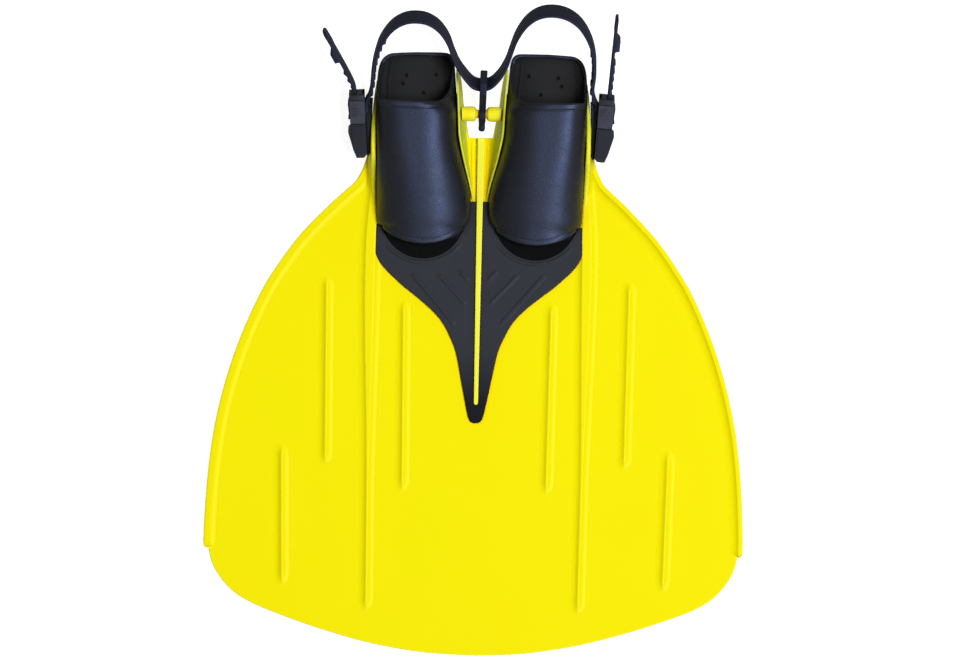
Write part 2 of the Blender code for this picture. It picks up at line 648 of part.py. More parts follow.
def housing():
    """Female half: a tapered box, open toward the heel, with a stud hole and two catch windows."""
    outline = [
        (-HALF_T, HOUSING_MOUTH), (-HALF_T, HOUSING_END + 3), (3 - HALF_T, HOUSING_END), (2.6, HOUSING_END),
        (HALF_T - 2.2, HOUSING_END + 8), (HALF_T + BUMP_H - 0.6, BUMP_Y - 3), (HALF_T + BUMP_H, BUMP_Y),
        (HALF_T, BUMP_Y + 2), (HALF_T, HOUSING_MOUTH),
    ]
    body = prism("housing", outline, -HOUSING_HALF, HOUSING_HALF)
    mouth = (HOUSING_END + 3.4, HOUSING_MOUTH + 5)
    room = block("room", (CAVITY_IN, CAVITY_OUT), mouth, (-CAVITY_HALF, CAVITY_HALF))
    window = (PRONG_TIP - CLEAR, PRONG_TIP + CATCH_L + CLEAR)
    slot = block("windows", (CAVITY_IN, CAVITY_OUT), window, (-HOUSING_HALF - 2, HOUSING_HALF + 2))
    return cut(body, room, slot)


def stud_hole():
    """Hole for the stud through the housing's inner wall, in world millimetres on the right side."""
    span = (BUCKLE_X - HALF_T - 6, BUCKLE_X + CAVITY_IN + 1.6)
    return turned("stud_hole", [(x, STUD_R + PIN_CLEAR * 2) for x in span], "X", (0, STUD_Y, STUD_Z))


def insert():
    """Male half: two side plates, the top bar with the tail's slot, a cross plate and the tongue."""
    faces = (-HALF_T, HALF_T)
    frame = block("insert", faces, (CROSS_Y, INSERT_END), (-SIDE_OUT, SIDE_OUT))
    flange = block("flange", faces, (TOP_BAR_Y, INSERT_END - 0.4), (-PAD_OUT, PAD_OUT))
    tongue_x = (TONGUE_X - TONGUE_T / 2, TONGUE_X + TONGUE_T / 2)
    tongue = block("tongue", tongue_x, (TONGUE_TIP, CROSS_Y + 1), (-TONGUE_HALF, TONGUE_HALF))
    join(frame, flange, tongue)
    window = block("window", (-HALF_T - 2, HALF_T + 2), (CROSS_Y + CROSS_T, TOP_BAR_Y), (-SIDE_IN, SIDE_IN))
    slot_x = (TAIL_X - STRAP_T / 2 - CLEAR, TAIL_OUT)
    slot = block("slot", slot_x, (TOP_BAR_Y - 1, INSERT_END + 2), (-SIDE_IN, SIDE_IN))
    relief = block("relief", (-HALF_T - 2, -HALF_T + 2.5), (TOP_BAR_Y - 1, INSERT_END + 2), (-SIDE_IN, SIDE_IN))
    holes = []
    for x, y, radius in ((ROLLER_X, ROLLER_Y, PIN_R), (LEVER_X, LEVER_Y, LEVER_PIN_R)):
        span = [(-SIDE_OUT - 2, radius + PIN_CLEAR), (SIDE_OUT + 2, radius + PIN_CLEAR)]
        holes.append(turned("pin_hole", span, "Z", (x, y, 0), 16))
    return cut(frame, window, slot, relief, *holes)


def arm():
    """Upper squeeze arm: ridged pad outside, prong with its catch inside the housing."""
    pad_y = (HOUSING_MOUTH + 0.8, TOP_BAR_Y - 0.6)
    pad_x = (-HALF_T + 0.2, HALF_T - 0.2)
    pad = block("arm", pad_x, pad_y, (PAD_IN, PAD_OUT))
    prong_x = (CAVITY_IN + 1, CAVITY_OUT - 1)
    prong = block("prong", prong_x, (PRONG_TIP, pad_y[0] + 1), (PRONG_OUT - PRONG_T, PRONG_OUT))
    link = block("link", prong_x, (HOUSING_MOUTH + 0.4, HOUSING_MOUTH + 1.8), (PRONG_OUT - PRONG_T, PAD_IN + 0.6))
    catch = block("catch", prong_x, (PRONG_TIP, PRONG_TIP + CATCH_L - 0.4), (PRONG_OUT - 1, PRONG_OUT + CATCH_H))
    root_y = (pad_y[1] - 2.2, pad_y[1])
    root = block("root", (-4, 4), root_y, (SIDE_OUT + CLEAR, PAD_IN + 0.6))
    ridges = []
    ridge_x = (pad_x[0] + 2, pad_x[1] - 2)
    for k in range(RIDGES):
        y = pad_y[1] - RIDGE_START - RIDGE_PITCH * k
        ridges.append(block("ridge", ridge_x, (y - 0.7, y + 0.7), (PAD_OUT - 0.5, PAD_OUT + 0.6)))
    return join(pad, prong, link, catch, root, *ridges)


def lever():
    """Pawl lever over the tail: its edge bears on the teeth, its thumb end lifts it off."""
    low = TAIL_OUT + 0.1
    top_y, tip_y = LEVER_Y + LEVER_TOP, LEVER_Y - LEVER_TIP
    outline = [
        (low + 0.9, tip_y), (low, LEVER_Y - 4), (low, LEVER_Y - 1), (low + 1.6, top_y - 0.4),
        (HALF_T + 1.0, top_y), (HALF_T + 1.6, LEVER_Y), (HALF_T + 0.8, tip_y + 4), (HALF_T + 1.8, tip_y),
    ]
    half = SIDE_IN - CLEAR - 0.3
    body = prism("lever", outline, -half, half)
    radius = LEVER_PIN_R + PIN_CLEAR
    bore = turned("bore", [(-half - 1, radius), (half + 1, radius)], "Z", (LEVER_X, LEVER_Y, 0), 16)
    return cut(body, bore)


def pin(name, x, y, radius):
    tip = SIDE_OUT + 0.1
    profile = [(-tip, radius - 0.3), (-tip + 0.3, radius), (tip - 0.3, radius), (tip, radius - 0.3)]
    return turned(name, profile, "Z", (x, y, 0), 16)


def roller():
    half = SIDE_IN - CLEAR
    body = turned("roller", [(-half, ROLLER_R), (half, ROLLER_R)], "Z", (ROLLER_X, ROLLER_Y, 0))
    bore_r = PIN_R + PIN_CLEAR
    bore = turned("bore", [(-half - 1, bore_r), (half + 1, bore_r)], "Z", (ROLLER_X, ROLLER_Y, 0), 16)
    return cut(body, bore)


def buckle(side_name, harness, materials):
    """All the pieces of one buckle, in place and on their pivots."""
    side = SIDES[side_name]
    frame = buckle_frame(side)
    flip = Matrix.Scale(-1, 4, (0, 0, 1))
    turn = Matrix.Rotation(TILT, 4, "X") @ Matrix.Rotation(-side * LEAN, 4, "Z")
    shell = moved(housing(), frame)
    cut(shell, moved(stud_hole(), Matrix.Scale(side, 4, (1, 0, 0))))
    slide = pivot(side_name + "_release_pivot", buckle_point(side, 0, 0, 0), turn)
    hang(slide, harness)
    squeeze_up = pivot(side_name + "_upper_arm_pivot", buckle_point(side, 0, ARM_PIVOT_Y, ARM_PIVOT_Z), turn)
    squeeze_low = pivot(side_name + "_lower_arm_pivot", buckle_point(side, 0, ARM_PIVOT_Y, -ARM_PIVOT_Z), turn)
    tip = pivot(side_name + "_lever_pivot", buckle_point(side, LEVER_X, LEVER_Y, 0), turn)
    spin = pivot(side_name + "_roller_pivot", buckle_point(side, ROLLER_X, ROLLER_Y, 0), turn)
    for empty in (squeeze_up, squeeze_low, tip, spin):
        hang(empty, slide)
    rubber, steel = materials
    pieces = [
        ("buckle_housing", shell, harness, rubber),
        ("buckle_insert", moved(insert(), frame), slide, rubber),
        ("upper_arm", moved(arm(), frame), squeeze_up, rubber),
        ("lower_arm", moved(arm(), frame @ flip), squeeze_low, rubber),
        ("lever", moved(lever(), frame), tip, rubber),
        ("lever_pin", moved(pin("pin", LEVER_X, LEVER_Y, LEVER_PIN_R), frame), slide, steel),
        ("roller", moved(roller(), frame), spin, rubber),
        ("roller_pin", moved(pin("pin", ROLLER_X, ROLLER_Y, PIN_R), frame), slide, steel),
    ]
    for name, obj, parent, material in pieces:
        obj.name = side_name + "_" + name
        hang(finished(obj, material), parent)


# ---------------------------------------------------------------- assembly

def build():
    clear_scene()
    yellow = plastic("yellow_plastic", YELLOW, 0.35)
    rubber = plastic("black_rubber", RUBBER, 0.55)
    buckle_black = plastic("buckle_plastic", BUCKLE_BLACK, 0.45)
    steel = plastic("pin_steel", STEEL, 0.3, 1.0)
    finished(blade(), yellow)
    for side_name in SIDES:
        finished(foot_pocket(side_name), rubber)
    finished(toe_web(), rubber)
    harness = pivot("harness_pivot", (0, STUD_Y, STUD_Z), Matrix.Rotation(TILT, 4, "X"))
    hang(finished(heel_strap(), rubber), harness)
    link = pivot("keeper_pivot", (0, BAR_Y, BAR_Z), Matrix.Rotation(LINK_ANGLE, 4, "X"))
    hang(finished(strap_keeper(), rubber), link)
    for side_name in SIDES:
        buckle(side_name, harness, (buckle_black, steel))


build()
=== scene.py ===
# %% [markdown]
# # A two-foot swim fin
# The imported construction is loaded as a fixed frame, and this lesson dresses it. A monofin is a few large
# mouldings: a ribbed blade of hard yellow plastic, two soft rubber foot pockets, a rubber web at the toes,
# and a toothed strap that runs through two quick-release buckles. The large ones are worked out here as
# surfaces with numpy, in millimetres, and put into meshes in metres, because a formula can be changed and
# run again. The small buckle parts are softened copies of the construction. First the frame is loaded and
# its size kept for later.

# %% Load the frame
import math

import bmesh
import bpy
import numpy as np
from mathutils import Matrix, Vector


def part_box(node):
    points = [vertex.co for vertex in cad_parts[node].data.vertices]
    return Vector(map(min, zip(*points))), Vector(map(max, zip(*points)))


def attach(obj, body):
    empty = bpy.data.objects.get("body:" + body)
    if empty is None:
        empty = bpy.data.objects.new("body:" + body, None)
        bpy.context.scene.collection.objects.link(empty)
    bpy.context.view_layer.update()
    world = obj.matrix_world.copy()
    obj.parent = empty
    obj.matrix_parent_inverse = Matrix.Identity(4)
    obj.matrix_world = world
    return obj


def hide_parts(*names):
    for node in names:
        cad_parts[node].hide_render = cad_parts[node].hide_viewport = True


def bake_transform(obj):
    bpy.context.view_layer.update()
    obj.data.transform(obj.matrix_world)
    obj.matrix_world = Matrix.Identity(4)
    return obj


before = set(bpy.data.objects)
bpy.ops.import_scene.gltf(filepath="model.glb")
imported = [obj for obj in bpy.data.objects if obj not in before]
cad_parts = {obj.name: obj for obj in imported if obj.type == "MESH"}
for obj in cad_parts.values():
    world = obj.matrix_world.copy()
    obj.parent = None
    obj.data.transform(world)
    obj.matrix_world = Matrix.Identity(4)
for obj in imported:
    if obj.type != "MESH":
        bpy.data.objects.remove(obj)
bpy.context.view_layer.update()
MM = 0.001
scene = bpy.context.scene

# %% [markdown]
# ## The camera
# The fin lies on its ribs and is looked at from straight above. A long lens far away keeps the tall foot
# pockets from leaning outward, as a plan view of a flat object does. The lens is worked out from the width
# that has to fit at a height of 20 mm, and the camera is turned a little, because the fin lies slightly
# askew.

# %% Camera
VIEW_WIDTH, MEASURED_AT = 960.0, 20.0
VIEW_HEIGHT_ABOVE = 20000.0
SENSOR = 36.0
VIEW_TURN = math.radians(1.12)
VIEW_CENTRE = (2.7, -0.4)

lens_data = bpy.data.cameras.new("overhead_camera")
lens_data.sensor_width = SENSOR
lens_data.lens = SENSOR * (VIEW_HEIGHT_ABOVE - MEASURED_AT) / VIEW_WIDTH
lens_data.clip_end = 100.0
camera = bpy.data.objects.new("overhead_camera", lens_data)
camera.location = (VIEW_CENTRE[0] * MM, VIEW_CENTRE[1] * MM, VIEW_HEIGHT_ABOVE * MM)
camera.rotation_euler = (0, 0, VIEW_TURN)
scene.collection.objects.link(camera)
scene.camera = camera
scene.view_settings.view_transform = "Standard"
print("lens", round(lens_data.lens), "mm")

# %% [markdown]
# ## Shader tools
# A shader is a small graph. `add` makes one node and fills its inputs with numbers or with other nodes'
# outputs, so that a material reads like a formula. An effect that several materials share, such as moulded
# grain, is a group with named inputs: it is built once and placed in each material with its own values.

# %% Node helpers
def add(tree, kind, inputs=None, **settings):
    """One shader node: settings are its own properties, inputs are numbers, colours or other outputs."""
    node = tree.nodes.new("ShaderNode" + kind)
    for label, value in settings.items():
        setattr(node, label, value)
    for label, value in (inputs or {}).items():
        if isinstance(value, bpy.types.NodeSocket):
            tree.links.new(value, node.inputs[label])
        else:
            node.inputs[label].default_value = value
    return node


def effect(name, inputs, output):
    """Empty group with number inputs and one output. Returns its tree, its inputs and its output socket."""
    tree = bpy.data.node_groups.new(name, "ShaderNodeTree")
    for label, value in inputs.items():
        socket = tree.interface.new_socket(label, in_out="INPUT", socket_type="NodeSocketFloat")
        socket.default_value = value
    tree.interface.new_socket(output, in_out="OUTPUT", socket_type="NodeSocketFloat")
    return tree, tree.nodes.new("NodeGroupInput").outputs, tree.nodes.new("NodeGroupOutput").inputs[output]


def use(tree, group, **inputs):
    """Output of the group placed in a material with its inputs set; words are joined by underscores."""
    node = tree.nodes.new("ShaderNodeGroup")
    node.node_tree = group
    for label, value in inputs.items():
        node.inputs[label.replace("_", " ")].default_value = value
    return node.outputs[0]


def math_of(tree, operation, first, second=0.0, clamp=False):
    """Output of one arithmetic node."""
    return add(tree, "Math", {0: first, 1: second}, operation=operation, use_clamp=clamp).outputs[0]

# %% [markdown]
# ## Shared effects
# Moulded parts carry the texture of their steel mould: a fine, even grain. A mask of sharply curved places
# gives wear on the rubber's edges and a painted highlight along the hard plastic's crest edges. Scuffs are
# short thin lines, dust is a scatter of specks, and large parts change tone slowly because the melt cools
# unevenly. A second mask paints shade into hollows and gaps. The patterns read object coordinates, so they
# stay on the surface in every view. Edges and creases are found from the surface itself.

# %% Effect groups
def object_point(tree, inputs_size):
    """Object coordinates in units of a size given in millimetres."""
    coords = add(tree, "TexCoord").outputs["Object"]
    per_metre = math_of(tree, "DIVIDE", 1000.0, inputs_size)
    return add(tree, "VectorMath", {0: coords, "Scale": per_metre}, operation="SCALE").outputs[0]


def grain_group():
    """Height of a moulded surface: fine noise, and slower lumps on top of it."""
    tree, given, result = effect("mould_grain", {"Size": 0.6, "Lumps": 0.35}, "Height")
    point = object_point(tree, given["Size"])
    fine = add(tree, "TexNoise", {"Vector": point, "Scale": 1.0, "Detail": 2.0, "Roughness": 0.55})
    coarse = add(tree, "TexNoise", {"Vector": point, "Scale": 0.16, "Detail": 1.0})
    lumps = math_of(tree, "MULTIPLY", coarse.outputs[0], given["Lumps"])
    tree.links.new(math_of(tree, "ADD", fine.outputs[0], lumps), result)
    return tree


def wear_and_highlight_group():
    """Sharply curved edges, (pointiness − start) / width, with slow noise: wear on rubber, painted highlight
    on plastic.
    """
    tree, given, result = effect("edge_wear_and_highlight", {"Start": 0.53, "Width": 0.08, "Patch": 9.0}, "Mask")
    sharp = add(tree, "NewGeometry").outputs["Pointiness"]
    past = math_of(tree, "SUBTRACT", sharp, given["Start"])
    sharpness = math_of(tree, "DIVIDE", past, given["Width"], clamp=True)
    patch = object_point(tree, given["Patch"])
    patches = add(tree, "TexNoise", {"Vector": patch, "Scale": 1.0, "Detail": 4.0})
    tree.links.new(math_of(tree, "MULTIPLY", sharpness, patches.outputs[0], clamp=True), result)
    return tree


def scuff_group():
    """Thin streaks: noise on a grid squeezed across the streak, kept only where it is near its highest."""
    tree, given, result = effect("scuffs", {"Length": 14.0, "Share": 0.08, "Turn": 0.6}, "Mask")
    turned = add(tree, "CombineXYZ", {"X": 0.0, "Y": 0.0, "Z": given["Turn"]}).outputs[0]
    mapping = add(
        tree, "Mapping",
        {"Vector": object_point(tree, given["Length"]), "Rotation": turned, "Scale": (1.0, 16.0, 1.0)},
    )
    fine = {"Scale": 1.0, "Detail": 3.0, "Roughness": 0.6}
    streaks = add(tree, "TexNoise", {"Vector": mapping.outputs[0], **fine})
    floor_level = math_of(tree, "SUBTRACT", 0.72, given["Share"])
    above = math_of(tree, "SUBTRACT", streaks.outputs[0], floor_level)
    tree.links.new(math_of(tree, "MULTIPLY", above, 14.0, clamp=True), result)
    return tree


def dust_group():
    """Specks: the middles of random cells, kept where the cell's own random number is low."""
    tree, given, result = effect("dust_specks", {"Spacing": 3.0, "Share": 0.2, "Speck": 0.09}, "Mask")
    cells = add(tree, "TexVoronoi", {"Vector": object_point(tree, given["Spacing"]), "Scale": 1.0})
    near = math_of(tree, "LESS_THAN", cells.outputs["Distance"], given["Speck"])
    chosen = add(tree, "SeparateColor", {"Color": cells.outputs["Color"]}).outputs[0]
    kept = math_of(tree, "LESS_THAN", chosen, given["Share"])
    tree.links.new(math_of(tree, "MULTIPLY", near, kept), result)
    return tree


def drift_group():
    """Slow noise times an amount."""
    tree, given, result = effect("tone_drift", {"Size": 120.0, "Amount": 1.0}, "Mask")
    slow = add(tree, "TexNoise", {"Vector": object_point(tree, given["Size"]), "Scale": 1.0, "Detail": 2.0})
    tree.links.new(math_of(tree, "MULTIPLY", slow.outputs[0], given["Amount"], clamp=True), result)
    return tree


def crease_shade_group():
    """Painted shade: 1 deep in a hollow and 0 in the open, from how much of the sky above a point is hidden
    nearby.
    """
    tree, given, result = effect("crease_shade", {"Reach": 5.0, "Strength": 1.0}, "Mask")
    reach = math_of(tree, "MULTIPLY", given["Reach"], MM)
    open_sky = add(tree, "AmbientOcclusion", {"Distance": reach}, samples=6).outputs["AO"]
    hidden = math_of(tree, "SUBTRACT", 1.0, open_sky)
    tree.links.new(math_of(tree, "MULTIPLY", hidden, given["Strength"], clamp=True), result)
    return tree


def fade_group():
    """0 on the heel side of one line across the fin, and 1 on the tail side of another."""
    tree, given, result = effect("fade_to_tail", {"Start": 0.0, "Full": -50.0}, "Mask")
    along = add(tree, "SeparateXYZ", {"Vector": object_point(tree, 1.0)}).outputs["Y"]
    past = math_of(tree, "SUBTRACT", along, given["Start"])
    reach = math_of(tree, "SUBTRACT", given["Full"], given["Start"])
    tree.links.new(math_of(tree, "DIVIDE", past, reach, clamp=True), result)
    return tree


GRAIN, EDGE_WEAR_AND_HIGHLIGHT, SCUFFS, FADE = grain_group(), wear_and_highlight_group(), scuff_group(), fade_group()
DUST, DRIFT, CREASE_SHADE = dust_group(), drift_group(), crease_shade_group()
print("effects:", [group.name for group in bpy.data.node_groups])

# %% [markdown]
# ## The finishes
# Hard glossy plastic, soft rubber, buckle nylon and steel differ mostly in how sharp their reflections are.
# Each one starts from its flat colour, which drifts and takes painted shade in creases and gaps. Rubber pales
# where its edges wear, and the hard plastic pales where it is scuffed and in a painted highlight along its
# crest edges; pale edges and scuffs are also a little rougher. A bump from the mould's grain comes last.
# Painted textures could do the same, but masks worked out from the surface fit any shape and need no
# unwrapping.

# %% Materials
def colour_mix(tree, mask, below, above):
    """below · (1 − mask) + above · mask, each of them a value or a node's output."""
    node = add(tree, "Mix", data_type="RGBA")
    for socket, value in ((node.inputs[0], mask), (node.inputs[6], below), (node.inputs[7], above)):
        if isinstance(value, bpy.types.NodeSocket):
            tree.links.new(value, socket)
        elif isinstance(value, tuple):
            socket.default_value = (*value, 1)
        else:
            socket.default_value = value
    return node.outputs[2]


def finish(name, layers, roughness, grain, bump, **constants):
    """Material whose layers give a colour and an extra roughness: roughness + grain[2] · height + extra."""
    material = bpy.data.materials.new(name)
    material.use_nodes = True
    tree = material.node_tree
    shader = tree.nodes["Principled BSDF"]
    for label, value in constants.items():
        shader.inputs[label.replace("_", " ")].default_value = value
    colour, rough = layers(tree)
    tree.links.new(colour, shader.inputs["Base Color"])
    height = use(tree, GRAIN, Size=grain[0], Lumps=grain[1])
    base_rough = math_of(tree, "MULTIPLY_ADD", height, grain[2])
    base_rough.node.inputs[2].default_value = roughness
    tree.links.new(math_of(tree, "ADD", base_rough, rough, clamp=True), shader.inputs["Roughness"])
    relief = add(tree, "Bump", {"Height": height, "Distance": bump * MM, "Strength": 1.0})
    tree.links.new(relief.outputs[0], shader.inputs["Normal"])
    return material


YELLOW, DEEP_AND_SHADE_YELLOW, SCUFF_AND_HIGHLIGHT_YELLOW = (0.655, 0.60, 0.0002), (0.92, 0.47, 0.0002), (0.84, 0.74, 0.08)
CHEEK_SHADE_TINT, KEEL_HIGHLIGHT_CREAM = (0.45, 0.52, 0.024), (0.63, 0.64, 0.045)
SHEEN, COOL_SHEEN, WARM_SHEEN = (0.46, 0.57, 1.0, 1), (0.7, 0.76, 1.0, 1), (1.0, 0.9, 0.3, 1)


def plastic_layers(base, deep, fade=None, pale_edges=0.75):
    """Hard plastic: it drifts, takes painted shade in creases, and pales at scuffs and in a painted crest
    highlight.
    """
    def layers(tree):
        drift = math_of(tree, "MULTIPLY", use(tree, DRIFT, Size=150.0, Amount=1.0), 0.12)
        colour = colour_mix(tree, drift, base, deep)
        if fade:
            colour = colour_mix(tree, use(tree, FADE, Start=fade[0], Full=fade[1]), colour, YELLOW)
        # Painted shade: the colour goes toward the deep tone in creases and gaps.
        shade_in_creases = use(tree, CREASE_SHADE, Reach=4.0, Strength=0.9)
        colour = colour_mix(tree, shade_in_creases, colour, deep)
        scuffs = math_of(tree, "MULTIPLY", use(tree, SCUFFS, Length=18.0, Share=0.02, Turn=0.5), 0.3)
        # Painted highlight: the colour pales along sharp crest edges; scuffs are real marks.
        crest_highlight = math_of(tree, "MULTIPLY", use(tree, EDGE_WEAR_AND_HIGHLIGHT, Start=0.505, Width=0.03, Patch=30.0), pale_edges)
        scuffs_and_highlight = math_of(tree, "MAXIMUM", scuffs, crest_highlight)
        colour = colour_mix(tree, scuffs_and_highlight, colour, SCUFF_AND_HIGHLIGHT_YELLOW)
        return colour, math_of(tree, "MULTIPLY", scuffs_and_highlight, 0.3)
    return layers


def rubber_layers(base, pale, dust, shade_reach=6.0, shade_in_creases=0.6, pale_edges=0.6, fade=None):
    """Rubber: painted shade darkens its creases and gaps, one end darkens along the fin, and edge wear and
    dust are pale.
    """
    def layers(tree):
        dark = tuple(c * 0.12 for c in base)
        drift = use(tree, DRIFT, Size=45.0, Amount=0.7)
        colour = colour_mix(tree, drift, base, tuple(c * 0.72 for c in base))
        # Painted shade: the colour goes dark in creases, gaps and hollows.
        hidden = use(tree, CREASE_SHADE, Reach=shade_reach, Strength=shade_in_creases)
        colour = colour_mix(tree, hidden, colour, dark)
        wear = use(tree, EDGE_WEAR_AND_HIGHLIGHT, Start=0.52, Width=0.1, Patch=6.0)
        colour = colour_mix(tree, math_of(tree, "MULTIPLY", wear, pale_edges), colour, pale)
        if fade:
            colour = colour_mix(tree, use(tree, FADE, Start=fade[0], Full=fade[1]), colour, dark)
        specks = use(tree, DUST, Spacing=2.6, Share=dust, Speck=0.10)
        colour = colour_mix(tree, math_of(tree, "MULTIPLY", specks, 0.5), colour, pale)
        return colour, math_of(tree, "MULTIPLY", wear, 0.2)
    return layers


def steel_layers(tree):
    """Steel: two close greys that drift into each other."""
    drift = use(tree, DRIFT, Size=3.0, Amount=1.0)
    colour = colour_mix(tree, drift, (0.62, 0.62, 0.63), (0.48, 0.49, 0.51))
    return colour, math_of(tree, "MULTIPLY", drift, 0.12)


def hard_plastic(name, layers, roughness=0.30, grain=(1.4, 0.6, 0.08), bump=0.01, ior=1.25):
    """Finish of the hard mouldings, whose reflections are warm."""
    return finish(name, layers, roughness, grain, bump, Specular_Tint=WARM_SHEEN, IOR=ior)


CHEEK_GRAIN = (1.0, 0.6, 0.10)
yellow = hard_plastic("yellow_plastic", plastic_layers(YELLOW, DEEP_AND_SHADE_YELLOW))
rail_yellow = hard_plastic("rail_plastic", plastic_layers(YELLOW, DEEP_AND_SHADE_YELLOW, pale_edges=0.0))
# The cheeks are the blade's own yellow plastic. Their lime tint is painted shade and reflection, the colour
# their shaded faces show; on the outer cheeks it gives way to yellow toward the neck.
cheek_shade_plastic = hard_plastic("cheek_painted_shade", plastic_layers(CHEEK_SHADE_TINT, CHEEK_SHADE_TINT), 0.36, CHEEK_GRAIN, 0.02)
cheek_shade_to_yellow = hard_plastic(
    "outer_cheek_painted_shade", plastic_layers(CHEEK_SHADE_TINT, CHEEK_SHADE_TINT, fade=(207, 184), pale_edges=0.45), 0.33, CHEEK_GRAIN, 0.02,
)
# The keel is the blade's yellow plastic: its pale cream colour is a painted highlight along its top.
keel_highlight_plastic = hard_plastic("keel_painted_highlight", plastic_layers(KEEL_HIGHLIGHT_CREAM, DEEP_AND_SHADE_YELLOW), ior=1.3)
instep_rubber = finish(
    "instep_rubber", rubber_layers((0.0095, 0.0092, 0.0085), (0.06, 0.06, 0.07), 0.22), 0.33,
    (1.5, 0.6, 0.18), 0.15, Specular_Tint=SHEEN, IOR=1.5,
)
# Painted shade: the sole goes dark toward the toe opening, and its hollows go dark too.
sole_rubber = finish(
    "sole_rubber", rubber_layers((0.019, 0.019, 0.0195), (0.07, 0.07, 0.07), 0.30, 34.0, 1.2, fade=(97, 90)),
    0.6, (1.2, 0.6, 0.2), 0.10, IOR=1.12,
)
# The web gets darker toward its tip, and painted shade darkens its creases.
web_rubber = finish(
    "web_rubber", rubber_layers((0.022, 0.0228, 0.026), (0.08, 0.08, 0.09), 0.25, 9.0, 1.0, fade=(-22, -76)),
    0.44, (1.4, 0.6, 0.18), 0.15, Specular_Tint=COOL_SHEEN, IOR=1.24,
)
strap_rubber = finish(
    "strap_rubber", rubber_layers((0.0088, 0.0094, 0.0175), (0.022, 0.024, 0.04), 0.12, pale_edges=0.3), 0.42,
    (0.7, 0.4, 0.15), 0.04, Specular_Tint=SHEEN, IOR=1.3,
)
# Painted shade darkens the buckle's grooves and gaps.
buckle_nylon = finish(
    "buckle_nylon", rubber_layers((0.0125, 0.0122, 0.0135), (0.09, 0.09, 0.12), 0.12, 2.2, 1.6, pale_edges=0.5),
    0.34, (0.5, 0.4, 0.2), 0.025, Specular_Tint=COOL_SHEEN, IOR=1.25,
)
pin_steel = finish("pin_steel", steel_layers, 0.22, (0.4, 0.2, 0.1), 0.004, Metallic=1.0)
print("finishes:", len(bpy.data.materials))

# %% [markdown]
# ## Floor and light
# The fin lies on a white sheet that glows a little, so its shadow stays faint. A soft light high on the
# right shades the forms, and a weaker one fills in from the left. A long strip beside the first is seen
# only in reflections, and gives the rubber its lengthwise sheen. The sky is an even, faintly warm white.

# %% Floor, lights and sky
FLOOR_DROP = 0.2
FLOOR_SIZE = 9000.0
FLOOR_GREY, FLOOR_GLOW = (0.4, 0.4, 0.4, 1), 0.86
SKY_WHITE, SKY_POWER = (1, 0.98, 0.95, 1), 0.25


def square(name, half, z):
    """Flat square round the origin at a height."""
    corners = [(-half, -half, z), (half, -half, z), (half, half, z), (-half, half, z)]
    mesh = bpy.data.meshes.new(name)
    mesh.from_pydata([[c * MM for c in corner] for corner in corners], [], [(0, 1, 2, 3)])
    obj = bpy.data.objects.new(name, mesh)
    scene.collection.objects.link(obj)
    return obj


floor_paint = bpy.data.materials.new("white_sheet")
floor_paint.use_nodes = True
floor_shader = floor_paint.node_tree.nodes["Principled BSDF"]
floor_shader.inputs["Base Color"].default_value = FLOOR_GREY
floor_shader.inputs["Roughness"].default_value = 0.9
floor_shader.inputs["Specular IOR Level"].default_value = 0.1
floor_shader.inputs["Emission Color"].default_value = (1, 1, 1, 1)
floor_shader.inputs["Emission Strength"].default_value = FLOOR_GLOW
sheet_floor = square("floor", FLOOR_SIZE / 2, -FLOOR_DROP)
sheet_floor.data.materials.append(floor_paint)
sheet_floor.visible_glossy = False


def softbox(name, spot, size, power, tint, gloss=True, shade=True):
    """Rectangular light that looks at the middle of the fin, its second side along the fin."""
    lamp = bpy.data.lights.new(name, "AREA")
    lamp.shape = "RECTANGLE"
    lamp.size, lamp.size_y = size
    lamp.energy = power
    lamp.color = tint
    obj = bpy.data.objects.new(name, lamp)
    obj.location = spot
    away = obj.location.normalized()
    along = (Vector((0, 1, 0)) - away * away.y).normalized()
    obj.rotation_euler = Matrix((along.cross(away), along, away)).transposed().to_euler()
    obj.visible_camera = False
    obj.visible_glossy = gloss
    obj.visible_diffuse = shade
    scene.collection.objects.link(obj)


softbox("key_light", (1.95, 0.3, 5.8), (2.0, 2.0), 470.0, (0.95, 0.97, 1.0), gloss=False)
softbox("strip_light", (3.0, -2.2, 5.6), (1.4, 7.5), 820.0, (0.82, 0.9, 1.0), shade=False)
softbox("fill_light", (-3.2, 1.0, 4.6), (3.5, 3.5), 28.0, (1.0, 0.98, 0.93), gloss=False)
sky = bpy.data.worlds.new("studio_sky")
sky.use_nodes = True
sky.node_tree.nodes["Background"].inputs["Color"].default_value = SKY_WHITE
sky.node_tree.nodes["Background"].inputs["Strength"].default_value = SKY_POWER
scene.world = sky
print("lights:", [lamp.name for lamp in bpy.data.lights])

# %% [markdown]
# ## Curves
# A moulded part is drawn as curves first, so these helpers come before any surface. A smooth curve goes
# through a few chosen points, `even` spaces points along it, `rounded` softens a polygon's corners, and
# `ramp` lets a measure change softly from one place to another. All of them work on whole arrays, which
# keeps them short.

# %% Curves
def curve_through(points, per_span=8):
    """Catmull-Rom curve: a cubic on each span, whose end slopes are half the step between the neighbours."""
    knots = np.array(points, float)
    ends = np.vstack([2 * knots[0] - knots[1], knots, 2 * knots[-1] - knots[-2]])
    t = np.linspace(0, 1, per_span, endpoint=False)[None, :, None]
    a, b, c, d = (ends[k:len(ends) - 3 + k, None] for k in range(4))
    spans = 0.5 * (2 * b + (c - a) * t + (2 * a - 5 * b + 4 * c - d) * t**2 + (3 * b - a - 3 * c + d) * t**3)
    return np.vstack([spans.reshape(-1, knots.shape[1]), knots[-1:]])


def run_of(points):
    """Distance along a line, from its first point to each of its points."""
    return np.concatenate([[0], np.cumsum(np.linalg.norm(np.diff(points, axis=0), axis=1))])


